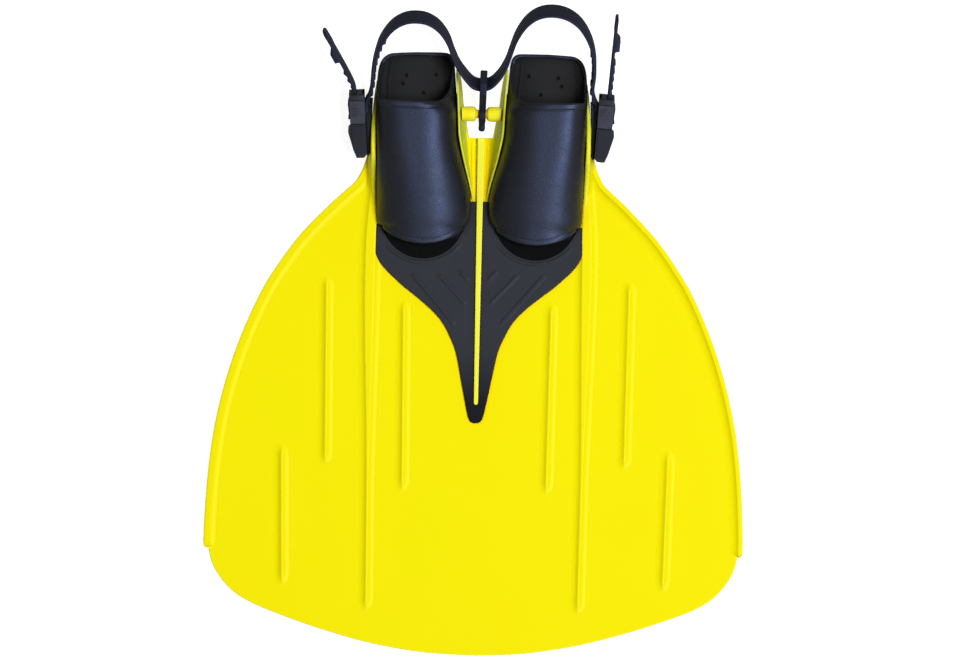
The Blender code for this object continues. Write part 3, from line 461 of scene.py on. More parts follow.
def even(points, marks):
    """The same line at evenly spaced points, or at the given shares of its length."""
    shares = np.linspace(0, 1, marks) if isinstance(marks, int) else np.asarray(marks)
    run = run_of(points)
    return np.column_stack([np.interp(shares * run[-1], run, points[:, k]) for k in range(points.shape[1])])


def left_of(points):
    """Unit directions to the left of a plan line as it is walked."""
    along = np.gradient(points, axis=0)
    along = along / np.linalg.norm(along, axis=1)[:, None]
    return np.column_stack([-along[:, 1], along[:, 0]])


def rounded(corners, radii, steps=5):
    """Polygon whose corners are parabola arcs from one radius before the corner to one radius after it."""
    corners = np.array(corners, float)
    radii = np.broadcast_to(radii, len(corners))[:, None]
    back, ahead = np.roll(corners, 1, 0) - corners, np.roll(corners, -1, 0) - corners
    first = corners + radii * back / np.linalg.norm(back, axis=1)[:, None]
    last = corners + radii * ahead / np.linalg.norm(ahead, axis=1)[:, None]
    t = np.linspace(0, 1, steps)[None, :, None]
    arcs = (1 - t)**2 * first[:, None] + 2 * t * (1 - t) * corners[:, None] + t**2 * last[:, None]
    return arcs.reshape(-1, 2)


def ramp(x, start, full):
    """Smooth step, 3t² − 2t³: t is 0 up to the start, 1 past the full value, and even between them."""
    t = np.clip((x - start) / (full - start), 0, 1)
    return t * t * (3 - 2 * t)


def arc_radius(half, dip):
    """Radius of a circle arc from its half width and its depth: (half² + dip²) / (2 · dip)."""
    return (half**2 + dip**2) / (2 * dip)


def points_of(*coordinates):
    """Points from their coordinates, each one given for every row, every column or both."""
    return np.stack(np.broadcast_arrays(*coordinates), -1)


square_path = rounded([(0, 0), (10, 0), (10, 10), (0, 10)], 2)
print("a square with round corners:", len(square_path), "points")

# %% [markdown]
# ## Surfaces
# Almost every piece here is one of two things: a grid of points whose neighbours are joined by four-sided
# cells, or a profile carried along a path, which is such a grid too. Blender could do the second with a
# curve and a bevel object, but a grid of numbers lets the profile change on the way. `place` then puts
# closed bodies into one mesh and says which body of the frame it rides on, and the nodes that it stands
# for.

# %% Grids, sweeps and meshes
def cells(rows, cols, loop_rows=False):
    """Corner numbers of every cell of a grid of rings. Looped rows join the last ring to the first."""
    r, c = np.meshgrid(np.arange(rows if loop_rows else rows - 1), np.arange(cols), indexing="ij")
    down, right = (r + 1) % rows, (c + 1) % cols
    corners = [r * cols + c, down * cols + c, down * cols + right, r * cols + right]
    return np.stack(corners, -1).reshape(-1, 4).tolist()


def tube(grid, loop_rows=False):
    """Closed body of rings: grid[row, point, xyz]. Open ends are closed by one face each."""
    rows, cols = grid.shape[:2]
    faces = cells(rows, cols, loop_rows)
    if not loop_rows:
        faces += [list(range(cols)), list(range((rows - 1) * cols, rows * cols))]
    return grid.reshape(-1, 3), faces


def sweep(path, profile, up=(0, 0, 1), loop=False):
    """Profile carried along a path: point = path + x · across + y · up, with across = up × heading.

    A path with two columns lies on the plane z = 0."""
    path = np.array(path, float)
    if path.shape[1] == 2:
        path = np.column_stack([path, np.zeros(len(path))])
    heading = np.roll(path, -1, 0) - np.roll(path, 1, 0) if loop else np.gradient(path, axis=0)
    up = np.broadcast_to(np.array(up, float), path.shape)
    across = np.cross(up, heading)
    across /= np.linalg.norm(across, axis=1)[:, None]
    profile = np.broadcast_to(profile, (len(path), *np.shape(profile)[-2:]))
    grid = path[:, None] + profile[..., :1] * across[:, None] + profile[..., 1:] * up[:, None]
    return tube(grid, loop)


def turned(profile, centre, steps=48):
    """Profile of (x, radius) turned about an axis along X through the centre."""
    x, radius = np.array(profile, float).T[..., None]
    angle = np.linspace(0, 2 * math.pi, steps, endpoint=False)
    return tube(points_of(x, radius * np.cos(angle), radius * np.sin(angle)) + np.array(centre, float))


def mirror(body):
    """The body seen across the plane x = 0."""
    points, faces = body
    return points * (-1, 1, 1), faces


def as_made(body):
    """The body as it is, for the right side."""
    return body


def both(bodies):
    """Right bodies and their left twins."""
    return bodies + [mirror(body) for body in bodies]


HANDS = {"right": as_made, "left": mirror}


def moved(body, matrix):
    """The body under a 4 × 4 matrix whose shifts are in millimetres."""
    points, faces = body
    turn = np.array(matrix)
    return points @ turn[:3, :3].T + turn[:3, 3], faces


def outward(mesh, merged=False):
    """Turns the faces outward. Loose triangles first have their points merged and their flat faces joined."""
    work = bmesh.new()
    work.from_mesh(mesh)
    if merged:
        bmesh.ops.remove_doubles(work, verts=work.verts[:], dist=0.02 * MM)
        bmesh.ops.dissolve_limit(work, angle_limit=math.radians(2), verts=work.verts[:], edges=work.edges[:])
    bmesh.ops.recalc_face_normals(work, faces=work.faces[:])
    work.to_mesh(mesh)
    work.free()


def dress(name, mesh, material, body, stands_for, angle):
    """Object from a mesh, smooth up to an angle, with its body and the nodes it stands for."""
    mesh.shade_smooth()
    mesh.set_sharp_from_angle(angle=math.radians(angle))
    mesh.materials.clear()
    mesh.materials.append(material)
    obj = bpy.data.objects.new(name, mesh)
    scene.collection.objects.link(obj)
    if body:
        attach(obj, body)
    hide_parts(*stands_for)
    print(name, len(mesh.polygons), "faces")
    return obj


def place(name, bodies, material, body=None, stands_for=(), angle=40):
    """One object from closed bodies, each of them points in millimetres and faces."""
    points, faces, start = [], [], 0
    for verts, corners in bodies:
        points.append(verts)
        faces += [[start + k for k in face] for face in corners]
        start += len(verts)
    mesh = bpy.data.meshes.new(name)
    mesh.from_pydata((np.vstack(points) * MM).tolist(), [], faces)
    outward(mesh)
    return dress(name, mesh, material, body, stands_for, angle)


ring_body = turned([(0, 4), (10, 4)], (0, 0, 0))
print("a turned bar:", len(ring_body[0]), "points and", len(ring_body[1]), "faces")

# %% [markdown]
# ## Flat plates with rounded rims
# A moulded plate has no sharp edge. Its rim is a row of rings round the outline, each one set further
# inward the nearer it is to a face, and one flat face closes each side. Where a plate has relief, the flat
# faces give way to a grid of plan points, a Coons patch: between four boundary curves it is the blend of
# the two ends plus the blend of the two sides, less the blend of the four corners.

# %% Plates
GUARD = 0.3
RIM_STEPS = 5


def rim(outline, low, high, edge):
    """Rings of a rounded rim: inset edge · (1 − cos a), height edge · sin a, with a from −90° to 90°.

    The first and last rings lie a guard distance further in, so that the faces stay flat beside the rim."""
    before, after = outline - np.roll(outline, 1, 0), np.roll(outline, -1, 0) - outline
    before, after = (d / np.linalg.norm(d, axis=1)[:, None] for d in (before, after))
    area = np.sum(outline[:, 0] * np.roll(outline[:, 1], -1) - outline[:, 1] * np.roll(outline[:, 0], -1))
    normals = [np.sign(area) * np.column_stack([-d[:, 1], d[:, 0]]) for d in (before, after)]
    inward = sum(normals) / (1 + np.sum(normals[0] * normals[1], axis=1))[:, None]
    angle = np.linspace(0, math.pi / 2, RIM_STEPS)
    round_in, round_up = edge * (1 - np.cos(angle)), edge * (1 - np.sin(angle))
    inset = np.concatenate([[edge + GUARD], round_in[::-1], round_in, [edge + GUARD]])
    height = np.concatenate([[low], low + round_up[::-1], high - round_up, [high]])
    rings = np.empty((len(inset), len(outline), 3))
    rings[..., :2] = outline + inset[:, None, None] * inward
    rings[..., 2] = height[:, None]
    return rings


def plate(outline, low, high, edge):
    """Flat plate between two heights, its rim rounded by the edge radius."""
    return tube(rim(outline, low, high, edge))


def coons(top, bottom, left, right):
    """Grid of plan points between four curves: ends blended + sides blended − corners blended."""
    v = np.linspace(0, 1, len(left))[:, None, None]
    u = np.linspace(0, 1, len(top))[None, :, None]
    ends = (1 - v) * top[None] + v * bottom[None]
    sides = (1 - u) * left[:, None] + u * right[:, None]
    corners = (1 - v) * ((1 - u) * top[0] + u * top[-1]) + v * ((1 - u) * bottom[0] + u * bottom[-1])
    return ends + sides - corners


def relief_plate(plan, low, high, edge, lift):
    """Plate over a plan grid, whose upper side rises by lift(x, y). The grid's border carries the rim."""
    rows, cols = plan.shape[:2]
    across, down = np.arange(cols - 1), np.arange(rows - 1)
    row = np.concatenate([0 * across, down, 0 * across + rows - 1, rows - 1 - down])
    col = np.concatenate([across, 0 * down + cols - 1, cols - 1 - across, 0 * down])
    rings = rim(plan[row, col], low, high, edge)
    inner = plan[1:-1, 1:-1].reshape(-1, 2)
    under = np.column_stack([inner, np.full(len(inner), low)])
    over = np.column_stack([inner, high + lift(inner[:, 0], inner[:, 1])])
    faces = cells(*rings.shape[:2])
    first = rings.shape[0] * len(row)
    for ring, start in ((0, first), (rings.shape[0] - 1, first + len(inner))):
        number = np.empty((rows, cols), int)
        number[1:-1, 1:-1] = start + np.arange(len(inner)).reshape(rows - 2, cols - 2)
        number[row, col] = ring * len(row) + np.arange(len(row))
        corners = [number[:-1, :-1], number[1:, :-1], number[1:, 1:], number[:-1, 1:]]
        faces += np.stack(corners, -1).reshape(-1, 4).tolist()
    return np.vstack([rings.reshape(-1, 3), under, over]), faces


print("a round-edged tile:", len(plate(square_path, 0, 3, 1)[0]), "points")

# %% [markdown]
# ## The blade's plate
# The blade is one moulding: a thin plate, stiff at the neck and wide at the tail, that carries the feet at
# its narrow end. Its outline is two long curves down the sides and one shallow curve across the trailing
# edge, and all of it is flat, so one plate does. Two stirrups, one under each foot, run back toward the
# heels and leave an open gap between them.

# %% Blade outline
HALF_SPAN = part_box("blade")[1].x / MM
TIP_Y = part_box("blade")[0].y / MM
NECK = (126.5, 144.0)
RAIL_END_Y = -216.0
RAIL_SETBACK = 4.0
PLATE_LOW, PLATE_TOP, RIB_TOP = 3.2, 6.8, 10.0
PLATE_EDGE = 1.2
BRIDGE_Y, STIRRUP_Y = 192.0, 236.0
CHEEK_FACE = 105.1
EDGE_SHAPE = np.array([
    (0, 0), (0.153, 0.056), (0.352, 0.139), (0.505, 0.222), (0.631, 0.306), (0.767, 0.431), (0.868, 0.556),
    (0.937, 0.681), (0.976, 0.806), (0.995, 0.931), (1, 1),
])
TRAIL_SHAPE = np.array([
    (1, 0), (0.985, 0.175), (0.955, 0.313), (0.902, 0.452), (0.825, 0.562), (0.706, 0.673), (0.567, 0.783),
    (0.394, 0.894), (0.2, 0.972), (0, 1),
])
NECK_RUN = [(110.5, 190.0), (112.4, 178.0), (115.0, 166.0), (118.4, 156.5), (122.4, 149.0)]


def edge_line():
    """Outer side of the right rail, from the neck to the rail's end."""
    span = np.array([HALF_SPAN - NECK[0], RAIL_END_Y - NECK[1]])
    return curve_through(NECK + EDGE_SHAPE * span)


def trailing_line():
    """Edge of the plate from the rail's end round to the middle of the tail."""
    x = TRAIL_SHAPE[:, 0] * (HALF_SPAN - RAIL_SETBACK)
    y = RAIL_END_Y + TRAIL_SHAPE[:, 1] * (TIP_Y - RAIL_END_Y)
    return curve_through(np.column_stack([x, y]))


def inside_rail(line):
    """The plate's edge runs inside the rail: each point moves toward the fin's middle."""
    return line - RAIL_SETBACK * left_of(line)


def both_sides(right):
    """Closed outline of a symmetric plate from its right side, heel end first."""
    return np.vstack([right, (right * (-1, 1))[::-1]])


def blade_outline():
    """The whole plate's edge: bridge, neck, rail side and tail."""
    neck_line = curve_through(NECK_RUN + [NECK])
    rail_side = inside_rail(neck_line)[:-2], inside_rail(edge_line())[1:-1]
    return both_sides(even(np.vstack([[(108.5, BRIDGE_Y)], *rail_side, trailing_line()[:-1]]), 420))


def stirrup_outline():
    """Right stirrup: from its outer edge at the heel round to its inner edge."""
    inner = curve_through([(21.5, STIRRUP_Y), (19.5, 224), (16.2, 206), (12.9, BRIDGE_Y), (12.0, 184)])
    outer = curve_through([(106.0, STIRRUP_Y), (106.9, 227), (108.4, 210), (109.8, BRIDGE_Y), (110.6, 184)])
    return np.vstack([outer, inner[::-1]])


PROUD = 0.01
stirrup = plate(stirrup_outline(), PLATE_LOW - PROUD, PLATE_TOP + PROUD, PLATE_EDGE)
web_of_blade = plate(blade_outline(), PLATE_LOW, PLATE_TOP, PLATE_EDGE)
place("blade_plate", [web_of_blade] + both([stirrup]), yellow, "blade", ["blade"])

# %% [markdown]
# ## Ribs
# Ribs stiffen the blade for almost no weight. In a mould they are shallow grooves with soft sides, so a
# rib's section is a narrow crest between two hollow flanks: the height falls as (1 − t)ᵖ, with t from 0 at
# the crest to 1 where the flank meets the plate. Each rib stands out of both faces and fades at its ends.
# The two long ribs start broad at the neck and narrow toward the tail. A sweep suits them, because only the
# section changes.

# %% Ribs
RIB_FLAT, NECK_RIB_FLAT = 0.25, 4.2
RIB_FADE = 13.0
FLANK, FLANK_POWER, CREST_ROUND = 10.5, 3.5, 0.7
FLANK_STEPS = np.array([0.02, 0.045, 0.075, 0.11, 0.16, 0.22, 0.3, 0.4, 0.52, 0.66, 0.82, 1])
SUNK, BURIED = 0.06, 0.5
WIDENS, NARROWS, NARROWED = (-170, 60), (85, 150), 0.7


def flank_fall(t):
    """Height left at a share t of the way down a flank, (1 − t)ᵖ: steep at the crest, level at the plate."""
    return (1 - np.clip(t, 0, 1))**FLANK_POWER


def ridge(
    path, flat_half, rise, both_faces=True, low=PLATE_LOW, high=PLATE_TOP, flank=FLANK, fade=RIB_FADE,
):
    """Bump on a plate, a flat crest between two hollow flanks. Its ends sink softly into the plate."""
    path = np.array(path, float)
    flat_half = np.broadcast_to(flat_half, len(path))[:, None]
    run = run_of(path)
    strength = ramp(np.minimum(run, run[-1] - run), 0, fade)[:, None]
    out = np.concatenate([[0, 0.5, 1], 1 + FLANK_STEPS])
    reach = np.clip(out, 0, 1) * flat_half + np.clip(out - 1, 0, 1) * flank
    across = np.hstack([-reach[:, :0:-1], reach])
    off_crest = np.hypot(np.maximum(np.abs(across) - flat_half, 0), CREST_ROUND) - CREST_ROUND
    proud = rise * strength * flank_fall(off_crest / (flank - CREST_ROUND))
    top = high - SUNK + proud
    bottom = low + SUNK + (-proud if both_faces else np.full_like(proud, BURIED))
    return sweep(path, points_of(np.hstack([across, across[:, ::-1]]), np.hstack([top, bottom[:, ::-1]])))


LONG_RIB = [
    (106.2, 157.0), (107.2, 125.0), (108.2, 80.0), (108.5, 30.0), (107.8, -70.0), (107.0, -170.0),
    (105.9, -284.0),
]
SHORT_RIBS = [
    ((151.5, 52.5), (149.5, -138.5)), ((74.0, 29.5), (72.0, -164.5)), ((193.5, -116.5), (190.5, -260.0)),
]


def rib(points, neck_flat=RIB_FLAT):
    """Rib with close points at its ends. Its crest widens toward the neck and narrows beside the cheek."""
    line = curve_through(points) if len(points) > 2 else np.array(points)
    length = run_of(line)[-1]
    near = np.linspace(0, RIB_FADE, 10)
    middle = np.linspace(RIB_FADE, length - RIB_FADE, 110)[1:-1]
    line = even(line, np.concatenate([near, middle, length - near[::-1]]) / length)
    wide = ramp(line[:, 1], *WIDENS) * (1 - NARROWED * ramp(line[:, 1], *NARROWS))
    return ridge(line, RIB_FLAT + (neck_flat - RIB_FLAT) * wide, RIB_TOP - PLATE_TOP + SUNK)


ribs = [rib(LONG_RIB, NECK_RIB_FLAT)] + [rib(ends) for ends in SHORT_RIBS]
place("blade_ribs", both(ribs), yellow, "blade")

# %% [markdown]
# ## Side rails
# A rail is the thick edge that keeps a blade from folding lengthwise. It is a bar of the same plastic, with
# a rounded outer corner and a hollow inner flank. It is one sweep along the outline's own curve, so rail
# and plate can't drift apart. It grows out of the cheek at the neck, and stops in a round end past the
# widest point.

# %% Rails along the two edges
RAIL_CREST, FLANK_RUN, RAIL_CORNER = 4.6, 11.5, 1.5
RAIL_RISE = RIB_TOP - PLATE_TOP + SUNK
RAIL_GROW, RAIL_STOP, RAIL_PAST = 45.0, 5.5, 7.5
RAIL_START, LAST_RING = 0.25, 0.97


def rail_section():
    """Upper half, and its twin below: a rounded outer corner, a flat crest, a hollow flank like a rib's."""
    turn = np.linspace(0, math.pi / 2, 7)
    corner = np.column_stack([-RAIL_CORNER * (1 - np.cos(turn)), RIB_TOP - RAIL_CORNER * (1 - np.sin(turn))])
    t = np.linspace(0, 1, 18)**1.6
    flank = np.column_stack([-RAIL_CREST - FLANK_RUN * t, PLATE_TOP - SUNK + RAIL_RISE * flank_fall(t)])
    upper = np.vstack([corner, flank])
    return np.vstack([upper, (upper * (1, -1) + (0, RIB_TOP))[::-1]])


RAIL_PROFILE = rail_section()


def side_rail():
    """Right rail: it grows out of the cheek's foot at the neck, and past the widest point it stops.

    Its end is round in plan and in height: √(1 − d²) of the section is left, with d from 0 to nearly 1."""
    end = np.array([(HALF_SPAN - 0.8, RAIL_END_Y - RAIL_PAST)])
    line = np.vstack([curve_through(NECK_RUN + [NECK])[:-1], edge_line(), end])
    last = 2 * RAIL_STOP / run_of(line)[-1]
    line = even(line, np.concatenate([np.linspace(0, 1 - last, 250)[:-1], 1 - last * np.linspace(1, 0, 16)]))
    run = run_of(line)
    grow = RAIL_START + (1 - RAIL_START) * ramp(run, 0, RAIL_GROW)
    into_stop = 1 - np.clip((run[-1] - run) / RAIL_STOP, 0, 1)
    left = np.sqrt(1 - (LAST_RING * into_stop)**2)[:, None]
    swell = grow[:, None] * (0.6 + 0.4 * left)
    middle, mid_height = -RAIL_CREST / 2, RIB_TOP / 2
    width = (middle + (RAIL_PROFILE[:, 0] - middle) * left) * (0.4 + 0.6 * swell)
    return sweep(line, points_of(width, mid_height + (RAIL_PROFILE[:, 1] - mid_height) * swell))


place("side_rails", both([side_rail()]), rail_yellow, "blade")

# %% [markdown]
# ## Keel
# The keel is the tall bar down the middle, from between the two foot pockets almost to the point of the toe
# web. It is a closed sweep whose half width shrinks toward a round nose, so one profile is stretched
# sideways for each ring. On each side of it a soft ridge, made as the ribs are, runs along the bridge
# between the pockets.

# %% Keel and the soft ridges beside it
KEEL_TOP = 12.5
BRIDGE_RIDGE = ((8.2, 190.5), (6.6, 132.0))
KEEL_HEEL_Y, KEEL_TIP_Y = 191.0, -73.0
KEEL_HEEL_W, KEEL_TIP_W = 7.6, 4.7
KEEL_PROFILE = rounded([(-1, 0), (1, 0), (0.86, KEEL_TOP), (-0.86, KEEL_TOP)], [0.35, 0.35, 0.45, 0.45], 7)


def keel():
    """Bar along the middle: half width falls evenly toward the tip, and its nose is a half circle in plan."""
    nose = KEEL_TIP_W / 2
    straight = np.linspace(KEEL_HEEL_Y, KEEL_TIP_Y, 120)
    y = np.concatenate([straight, KEEL_TIP_Y - nose * np.sin(np.linspace(0, 1.5, 9))[1:]])
    share = (KEEL_HEEL_Y - y) / (KEEL_HEEL_Y - KEEL_TIP_Y)
    half = (KEEL_HEEL_W + np.clip(share, 0, 1) * (KEEL_TIP_W - KEEL_HEEL_W)) / 2
    half = half * np.sqrt(np.clip(1 - (np.clip(KEEL_TIP_Y - y, 0, None) / nose)**2, 0.001, 1))
    profile = points_of(KEEL_PROFILE[:, 0] * half[:, None], KEEL_PROFILE[:, 1])
    return sweep(points_of(0 * y, y), profile)


bridge_ridge = ridge(np.linspace(*BRIDGE_RIDGE, 60), 0.6, 1.2, flank=3.2)
place("keel", [keel()], keel_highlight_plastic, "blade")
place("bridge_ridges", both([bridge_ridge]), yellow, "blade")

# %% [markdown]
# ## Cheeks
# The yellow cheeks hold the foot pockets from both sides. Each one is upright against the rubber, has a
# round crest, and flares toward its foot. A row of the grid runs up the upright face, round the crest and
# down the flare. There, with t from 0 to 1, the height falls as t while the distance out grows as t to the
# power 1.7. A few measured rows with a smooth curve through them give the whole wall.

# %% Cheeks
OUTER_CREST_R, INNER_CREST_R = 2.4, 1.0
FLARE = 1.7
OUTER_CHEEK = [
    (247, CHEEK_FACE, 105.7, 9), (244, CHEEK_FACE, 105.9, 14), (237, CHEEK_FACE, 107, 22),
    (227, CHEEK_FACE, 108, 33), (210, CHEEK_FACE, 109.4, 39), (192, CHEEK_FACE, 111, 42),
    (180, CHEEK_FACE, 112.4, 41), (169.5, 104.7, 114.6, 37), (157, 104.3, 118.6, 26),
    (144, 103.9, 125.5, 16.5), (130, 103.5, 131, 11), (112, 103.2, 136, 8), (96, 102.8, 138, 6.6),
]
INNER_CHEEK = [
    (260.5, 26.0, 24.2, 9), (258, 26.1, 23.4, 16), (252, 26.2, 21.4, 21), (238, 25.0, 19.2, 30),
    (224, 24.2, 17.6, 36), (206, 23.3, 14.2, 40), (192, 22.2, 11.8, 39), (169.5, 17.5, 9.4, 29),
    (144.6, 11.0, 7.5, 17), (131, 8.2, 6.2, 9.5), (126, 7.6, 5.8, 6.6),
]


def cheek(table, crest_radius):
    """Rings across the wall from rows of (y, upright face x, foot x, height)."""
    y, face, foot, height = curve_through(table, per_span=10).T[..., None]
    side = np.sign(foot - face)
    radius = np.minimum(crest_radius, np.abs(foot - face) / 2.1)
    round_angle = np.linspace(math.pi, 0, 7)
    down = np.linspace(0, 1, 14)[1:]
    crest_x = face + side * radius * (1 + np.cos(round_angle))
    crest_z = height - radius * (1 - np.sin(round_angle))
    flank_x = face + side * 2 * radius + (foot - face - side * 2 * radius) * down**FLARE
    flank_z = (height - radius) * (1 - down)
    ring_x = np.concatenate([face, face, crest_x, flank_x], 1)
    ring_z = np.concatenate([0 * height, height * 0.5, crest_z, flank_z], 1)
    return tube(points_of(ring_x, y, ring_z))


outer_cheek = cheek(OUTER_CHEEK, OUTER_CREST_R)
inner_cheek = cheek(INNER_CHEEK, INNER_CREST_R)
place("outer_cheeks", both([outer_cheek]), cheek_shade_to_yellow, "blade")
place("inner_cheeks", both([inner_cheek]), cheek_shade_plastic, "blade")

# %% [markdown]
# ## Crossbar and studs
# Between the inner cheeks sits a round crossbar, thinner in the middle where the strap's keeper hangs, and
# a headed stud on each outer cheek carries a buckle. Round parts are turned: one profile of a place along
# the axis and a radius is all that has to be drawn, and the bar needs only half of it.

# %% Crossbar and studs
BAR_Y, BAR_Z = 215.5, 22.0
STUD_Y, STUD_Z = 182.0, 24.0
BUCKLE_X = 121.8
HALF_BAR = [
    (0, 4.15), (4.4, 4.15), (5.1, 4.5), (5.5, 5.3), (6.1, 6.3), (7.2, 7.1), (9.0, 7.5), (13.0, 7.5),
    (16.5, 7.2), (19.5, 7.0),
]
STUD = [
    (106, 5.5), (112.2, 5.5), (112.4, 5.0), (112.5, 4.0), (117.8, 4.0), (117.9, 5.6), (118.2, 6.0),
    (119.0, 6.0), (119.4, 5.4),
]
bar_profile = [(-x, r) for x, r in HALF_BAR[:0:-1]] + HALF_BAR
stud = turned(STUD, (0, STUD_Y, STUD_Z))
crossbar = turned(bar_profile, (0, BAR_Y, BAR_Z))
place("crossbar", [crossbar] + both([stud]), yellow, "blade")

# %% [markdown]
# ## Foot pockets
# A foot pocket is soft rubber, open at the heel and at the toes. Its outside has two edges, the rim of the
# heel opening and a line that runs round the toe opening and along the sole, and both are closed loops. So
# the shell is a ring-shaped grid: one direction goes round the pocket and the other runs from the sole or
# the toe rim up to the heel rim. Every point lies on a superellipse arch, |x|ⁿ + |z|ⁿ = 1, whose width and
# height change along the foot. A station is one such place: y, the arch's inner and outer x, and its
# height. The line of the sole's edge follows them, and turns round the heel through a few corner points.

# %% Pocket stations and paths
WALL = 3.0
SOLE_T = 4.0
POCKET_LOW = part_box("right_foot_pocket")[0].z / MM
SOLE_TOP = POCKET_LOW + SOLE_T
HEEL_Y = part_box("right_foot_pocket")[1].y / MM
TOE_Y, TOE_IN, TOE_OUT = 99.0, 15.3, 97.5
RIM_DIP, SOLE_DIP = 14.4, 29.2
ARCH, HEEL_ARCH = 2.3, 3.9
RIM_ARCH = {1: 5.0, -1: 1.75}
LEAN_OUT = 4.0
STATIONS = [
    (65, TOE_IN, TOE_OUT, 14), (TOE_Y, TOE_IN, TOE_OUT, 29), (104, 12.2, 101.4, 31.5), (111, 9.8, 102.8, 35),
    (123, 8.5, 103.3, 40), (144.6, 11.3, 103.8, 49), (169.5, 17.8, 104.5, 58), (192, 22.5, 104.8, 65),
    (222, 24.5, 104.8, 71.5), (236, 25.3, 104.8, 72), (251, 26.6, 104.6, 72), (262, 27.5, 102.8, 72),
]
HEEL_CORNER = {
    1: [
        (104.6, 251), (103.9, 258), (101.8, 265.5), (98.0, 271), (92.0, 274.4), (84.0, 275.4), (64.0, HEEL_Y),
    ],
    -1: [
        (26.6, 251), (27.2, 259), (28.0, 266), (29.8, 271.8), (34.0, 275.6), (41.0, HEEL_Y), (64.0, HEEL_Y),
    ],
}
HEEL_CUT = [(300, 4), (266, 5), (256, 9), (247, 16), (238, 26), (231, 41), (227.3, 56), (225.5, 75)]
SQUARES_UP, OPENS_UP = (105, 235), (212, 232)
SIDE_SPAN, TURNS_IN = (80, 244), (256, 270)
SIDE_COUNT, PATH_COUNT = 120, 500
stations = curve_through(STATIONS)
heel_cut = curve_through(HEEL_CUT)[::-1]


def station(y):
    """Inner x, outer x and height of the arch at a place along the foot."""
    y = np.clip(y, STATIONS[0][0], STATIONS[-1][0])
    return (np.interp(y, stations[:, 0], stations[:, k]) for k in (1, 2, 3))


def arch_power(y, side):
    """Superellipse power: squarer toward the heel. Beside the opening, the outer side stands up and the
    inner side leans."""
    power = ARCH + (HEEL_ARCH - ARCH) * ramp(y, *SQUARES_UP)
    return power + (RIM_ARCH[side] - HEEL_ARCH) * ramp(y, *OPENS_UP)


def side_path(side):
    """Line along the sole's edge, from ahead of the toes to mid heel, with its inward directions and side."""
    y = np.linspace(*SIDE_SPAN, SIDE_COUNT)
    inner, outer, _ = station(y)
    straight = np.column_stack([outer if side > 0 else inner, y])
    path = even(np.vstack([straight, curve_through(HEEL_CORNER[side])]), PATH_COUNT)
    turn = ramp(path[:, 1], *TURNS_IN)[:, None]
    inward = (1 - turn) * np.array([-side, 0]) + turn * side * left_of(path)
    return path, inward / np.linalg.norm(inward, axis=1)[:, None], side


TRACKS = {side: side_path(side) for side in (1, -1)}
print("sole's edge:", [round(run_of(path)[-1]) for path, _, _ in TRACKS.values()], "mm, outer and inner side")

# %% [markdown]
# ## Points of the shell
# A place on the rubber is named by two numbers: how far along the sole's edge it stands, and its angle up
# the arch. With that map both openings become lines of such pairs. The toe edge is a circle arc in plan,
# found by going back and forth between x and y until they agree, and the heel edge is a cut seen from the
# side.

# %% Points of the shell
TOE_HALF, TOE_MIDDLE = (TOE_OUT - TOE_IN) / 2, (TOE_OUT + TOE_IN) / 2
TOE_COUNT, HEEL_COUNT = 80, 400
TOE_ROUNDS = 12
LEANS = (96, 136)
SMALLEST = 1e-9


def shell_point(track, share, angle):
    """Outer surface at a share of the side path and an angle up the arch: 0° at the sole, 90° at the top."""
    path, inward, side = track
    number = np.linspace(0, 1, len(path))
    x, y, across, along = (np.interp(share, number, line) for line in (*path.T, *inward.T))
    inner, outer, height = station(y)
    cos, sin = np.cos(angle), np.sin(angle)
    power = arch_power(y, side)
    radius = (np.abs(cos)**power + np.abs(sin)**power)**(-1 / power)
    inset = (outer - inner) / 2 * (1 - radius * cos)
    lean = LEAN_OUT * sin**2 * ramp(y, *LEANS)
    return points_of(x + inset * across + lean, y + inset * along, POCKET_LOW + height * radius * sin)


def toe_rim(track):
    """The toe edge from the top of the arch down to the sole: a circle arc across the toes, in plan."""
    path = track[0]
    number = np.linspace(0, 1, len(path))
    angle = np.linspace(math.pi / 2, 0, TOE_COUNT)
    radius = arc_radius(TOE_HALF, RIM_DIP)
    y = np.full(TOE_COUNT, TOE_Y)
    for _ in range(TOE_ROUNDS):
        x = shell_point(track, np.interp(y, path[:, 1], number), angle)[:, 0]
        off = np.clip(np.abs(x - TOE_MIDDLE), 0, TOE_HALF)
        y = TOE_Y - RIM_DIP + radius - np.sqrt(radius**2 - off**2)
    return np.column_stack([np.interp(y, path[:, 1], number), angle])


def heel_rim(track):
    """The heel edge: the arch cut by a curve seen from the side. The angle solves z on the superellipse."""
    path, _, side = track
    share = np.linspace(0, 1, HEEL_COUNT)
    y = np.interp(share, np.linspace(0, 1, len(path)), path[:, 1])
    _, _, height = station(y)
    level = np.interp(y, heel_cut[:, 0], heel_cut[:, 1]) + SOLE_T
    part = np.clip(level / height, SMALLEST, 1 - SMALLEST)
    power = arch_power(y, side)
    cotangent = (part**-power - 1)**(1 / power)
    angle = np.arctan2(1, cotangent)
    top = np.nonzero(y > heel_cut[0, 0])[0][0]
    first = np.argmax(level[top:] < height[top:]) + top
    line = np.column_stack([share, angle])[first:]
    line[0, 1] = math.pi / 2
    return line


print("edge lines:", [(len(toe_rim(track)), len(heel_rim(track))) for track in TRACKS.values()], "points")

# %% [markdown]
# ## The shell's grid
# Each side of the pocket is a set of lines from the toe rim or the sole up to the heel rim. Their points
# stand closer near both ends, where the seam and the bead are. The inner skin is the outer one moved inward
# by the wall, and half circles close both rims. The bead near the heel rim and the fine seam near the toe
# rim are small moves along the normals. Sculpting could do this by hand, but here a change of one number
# moves the whole rim.

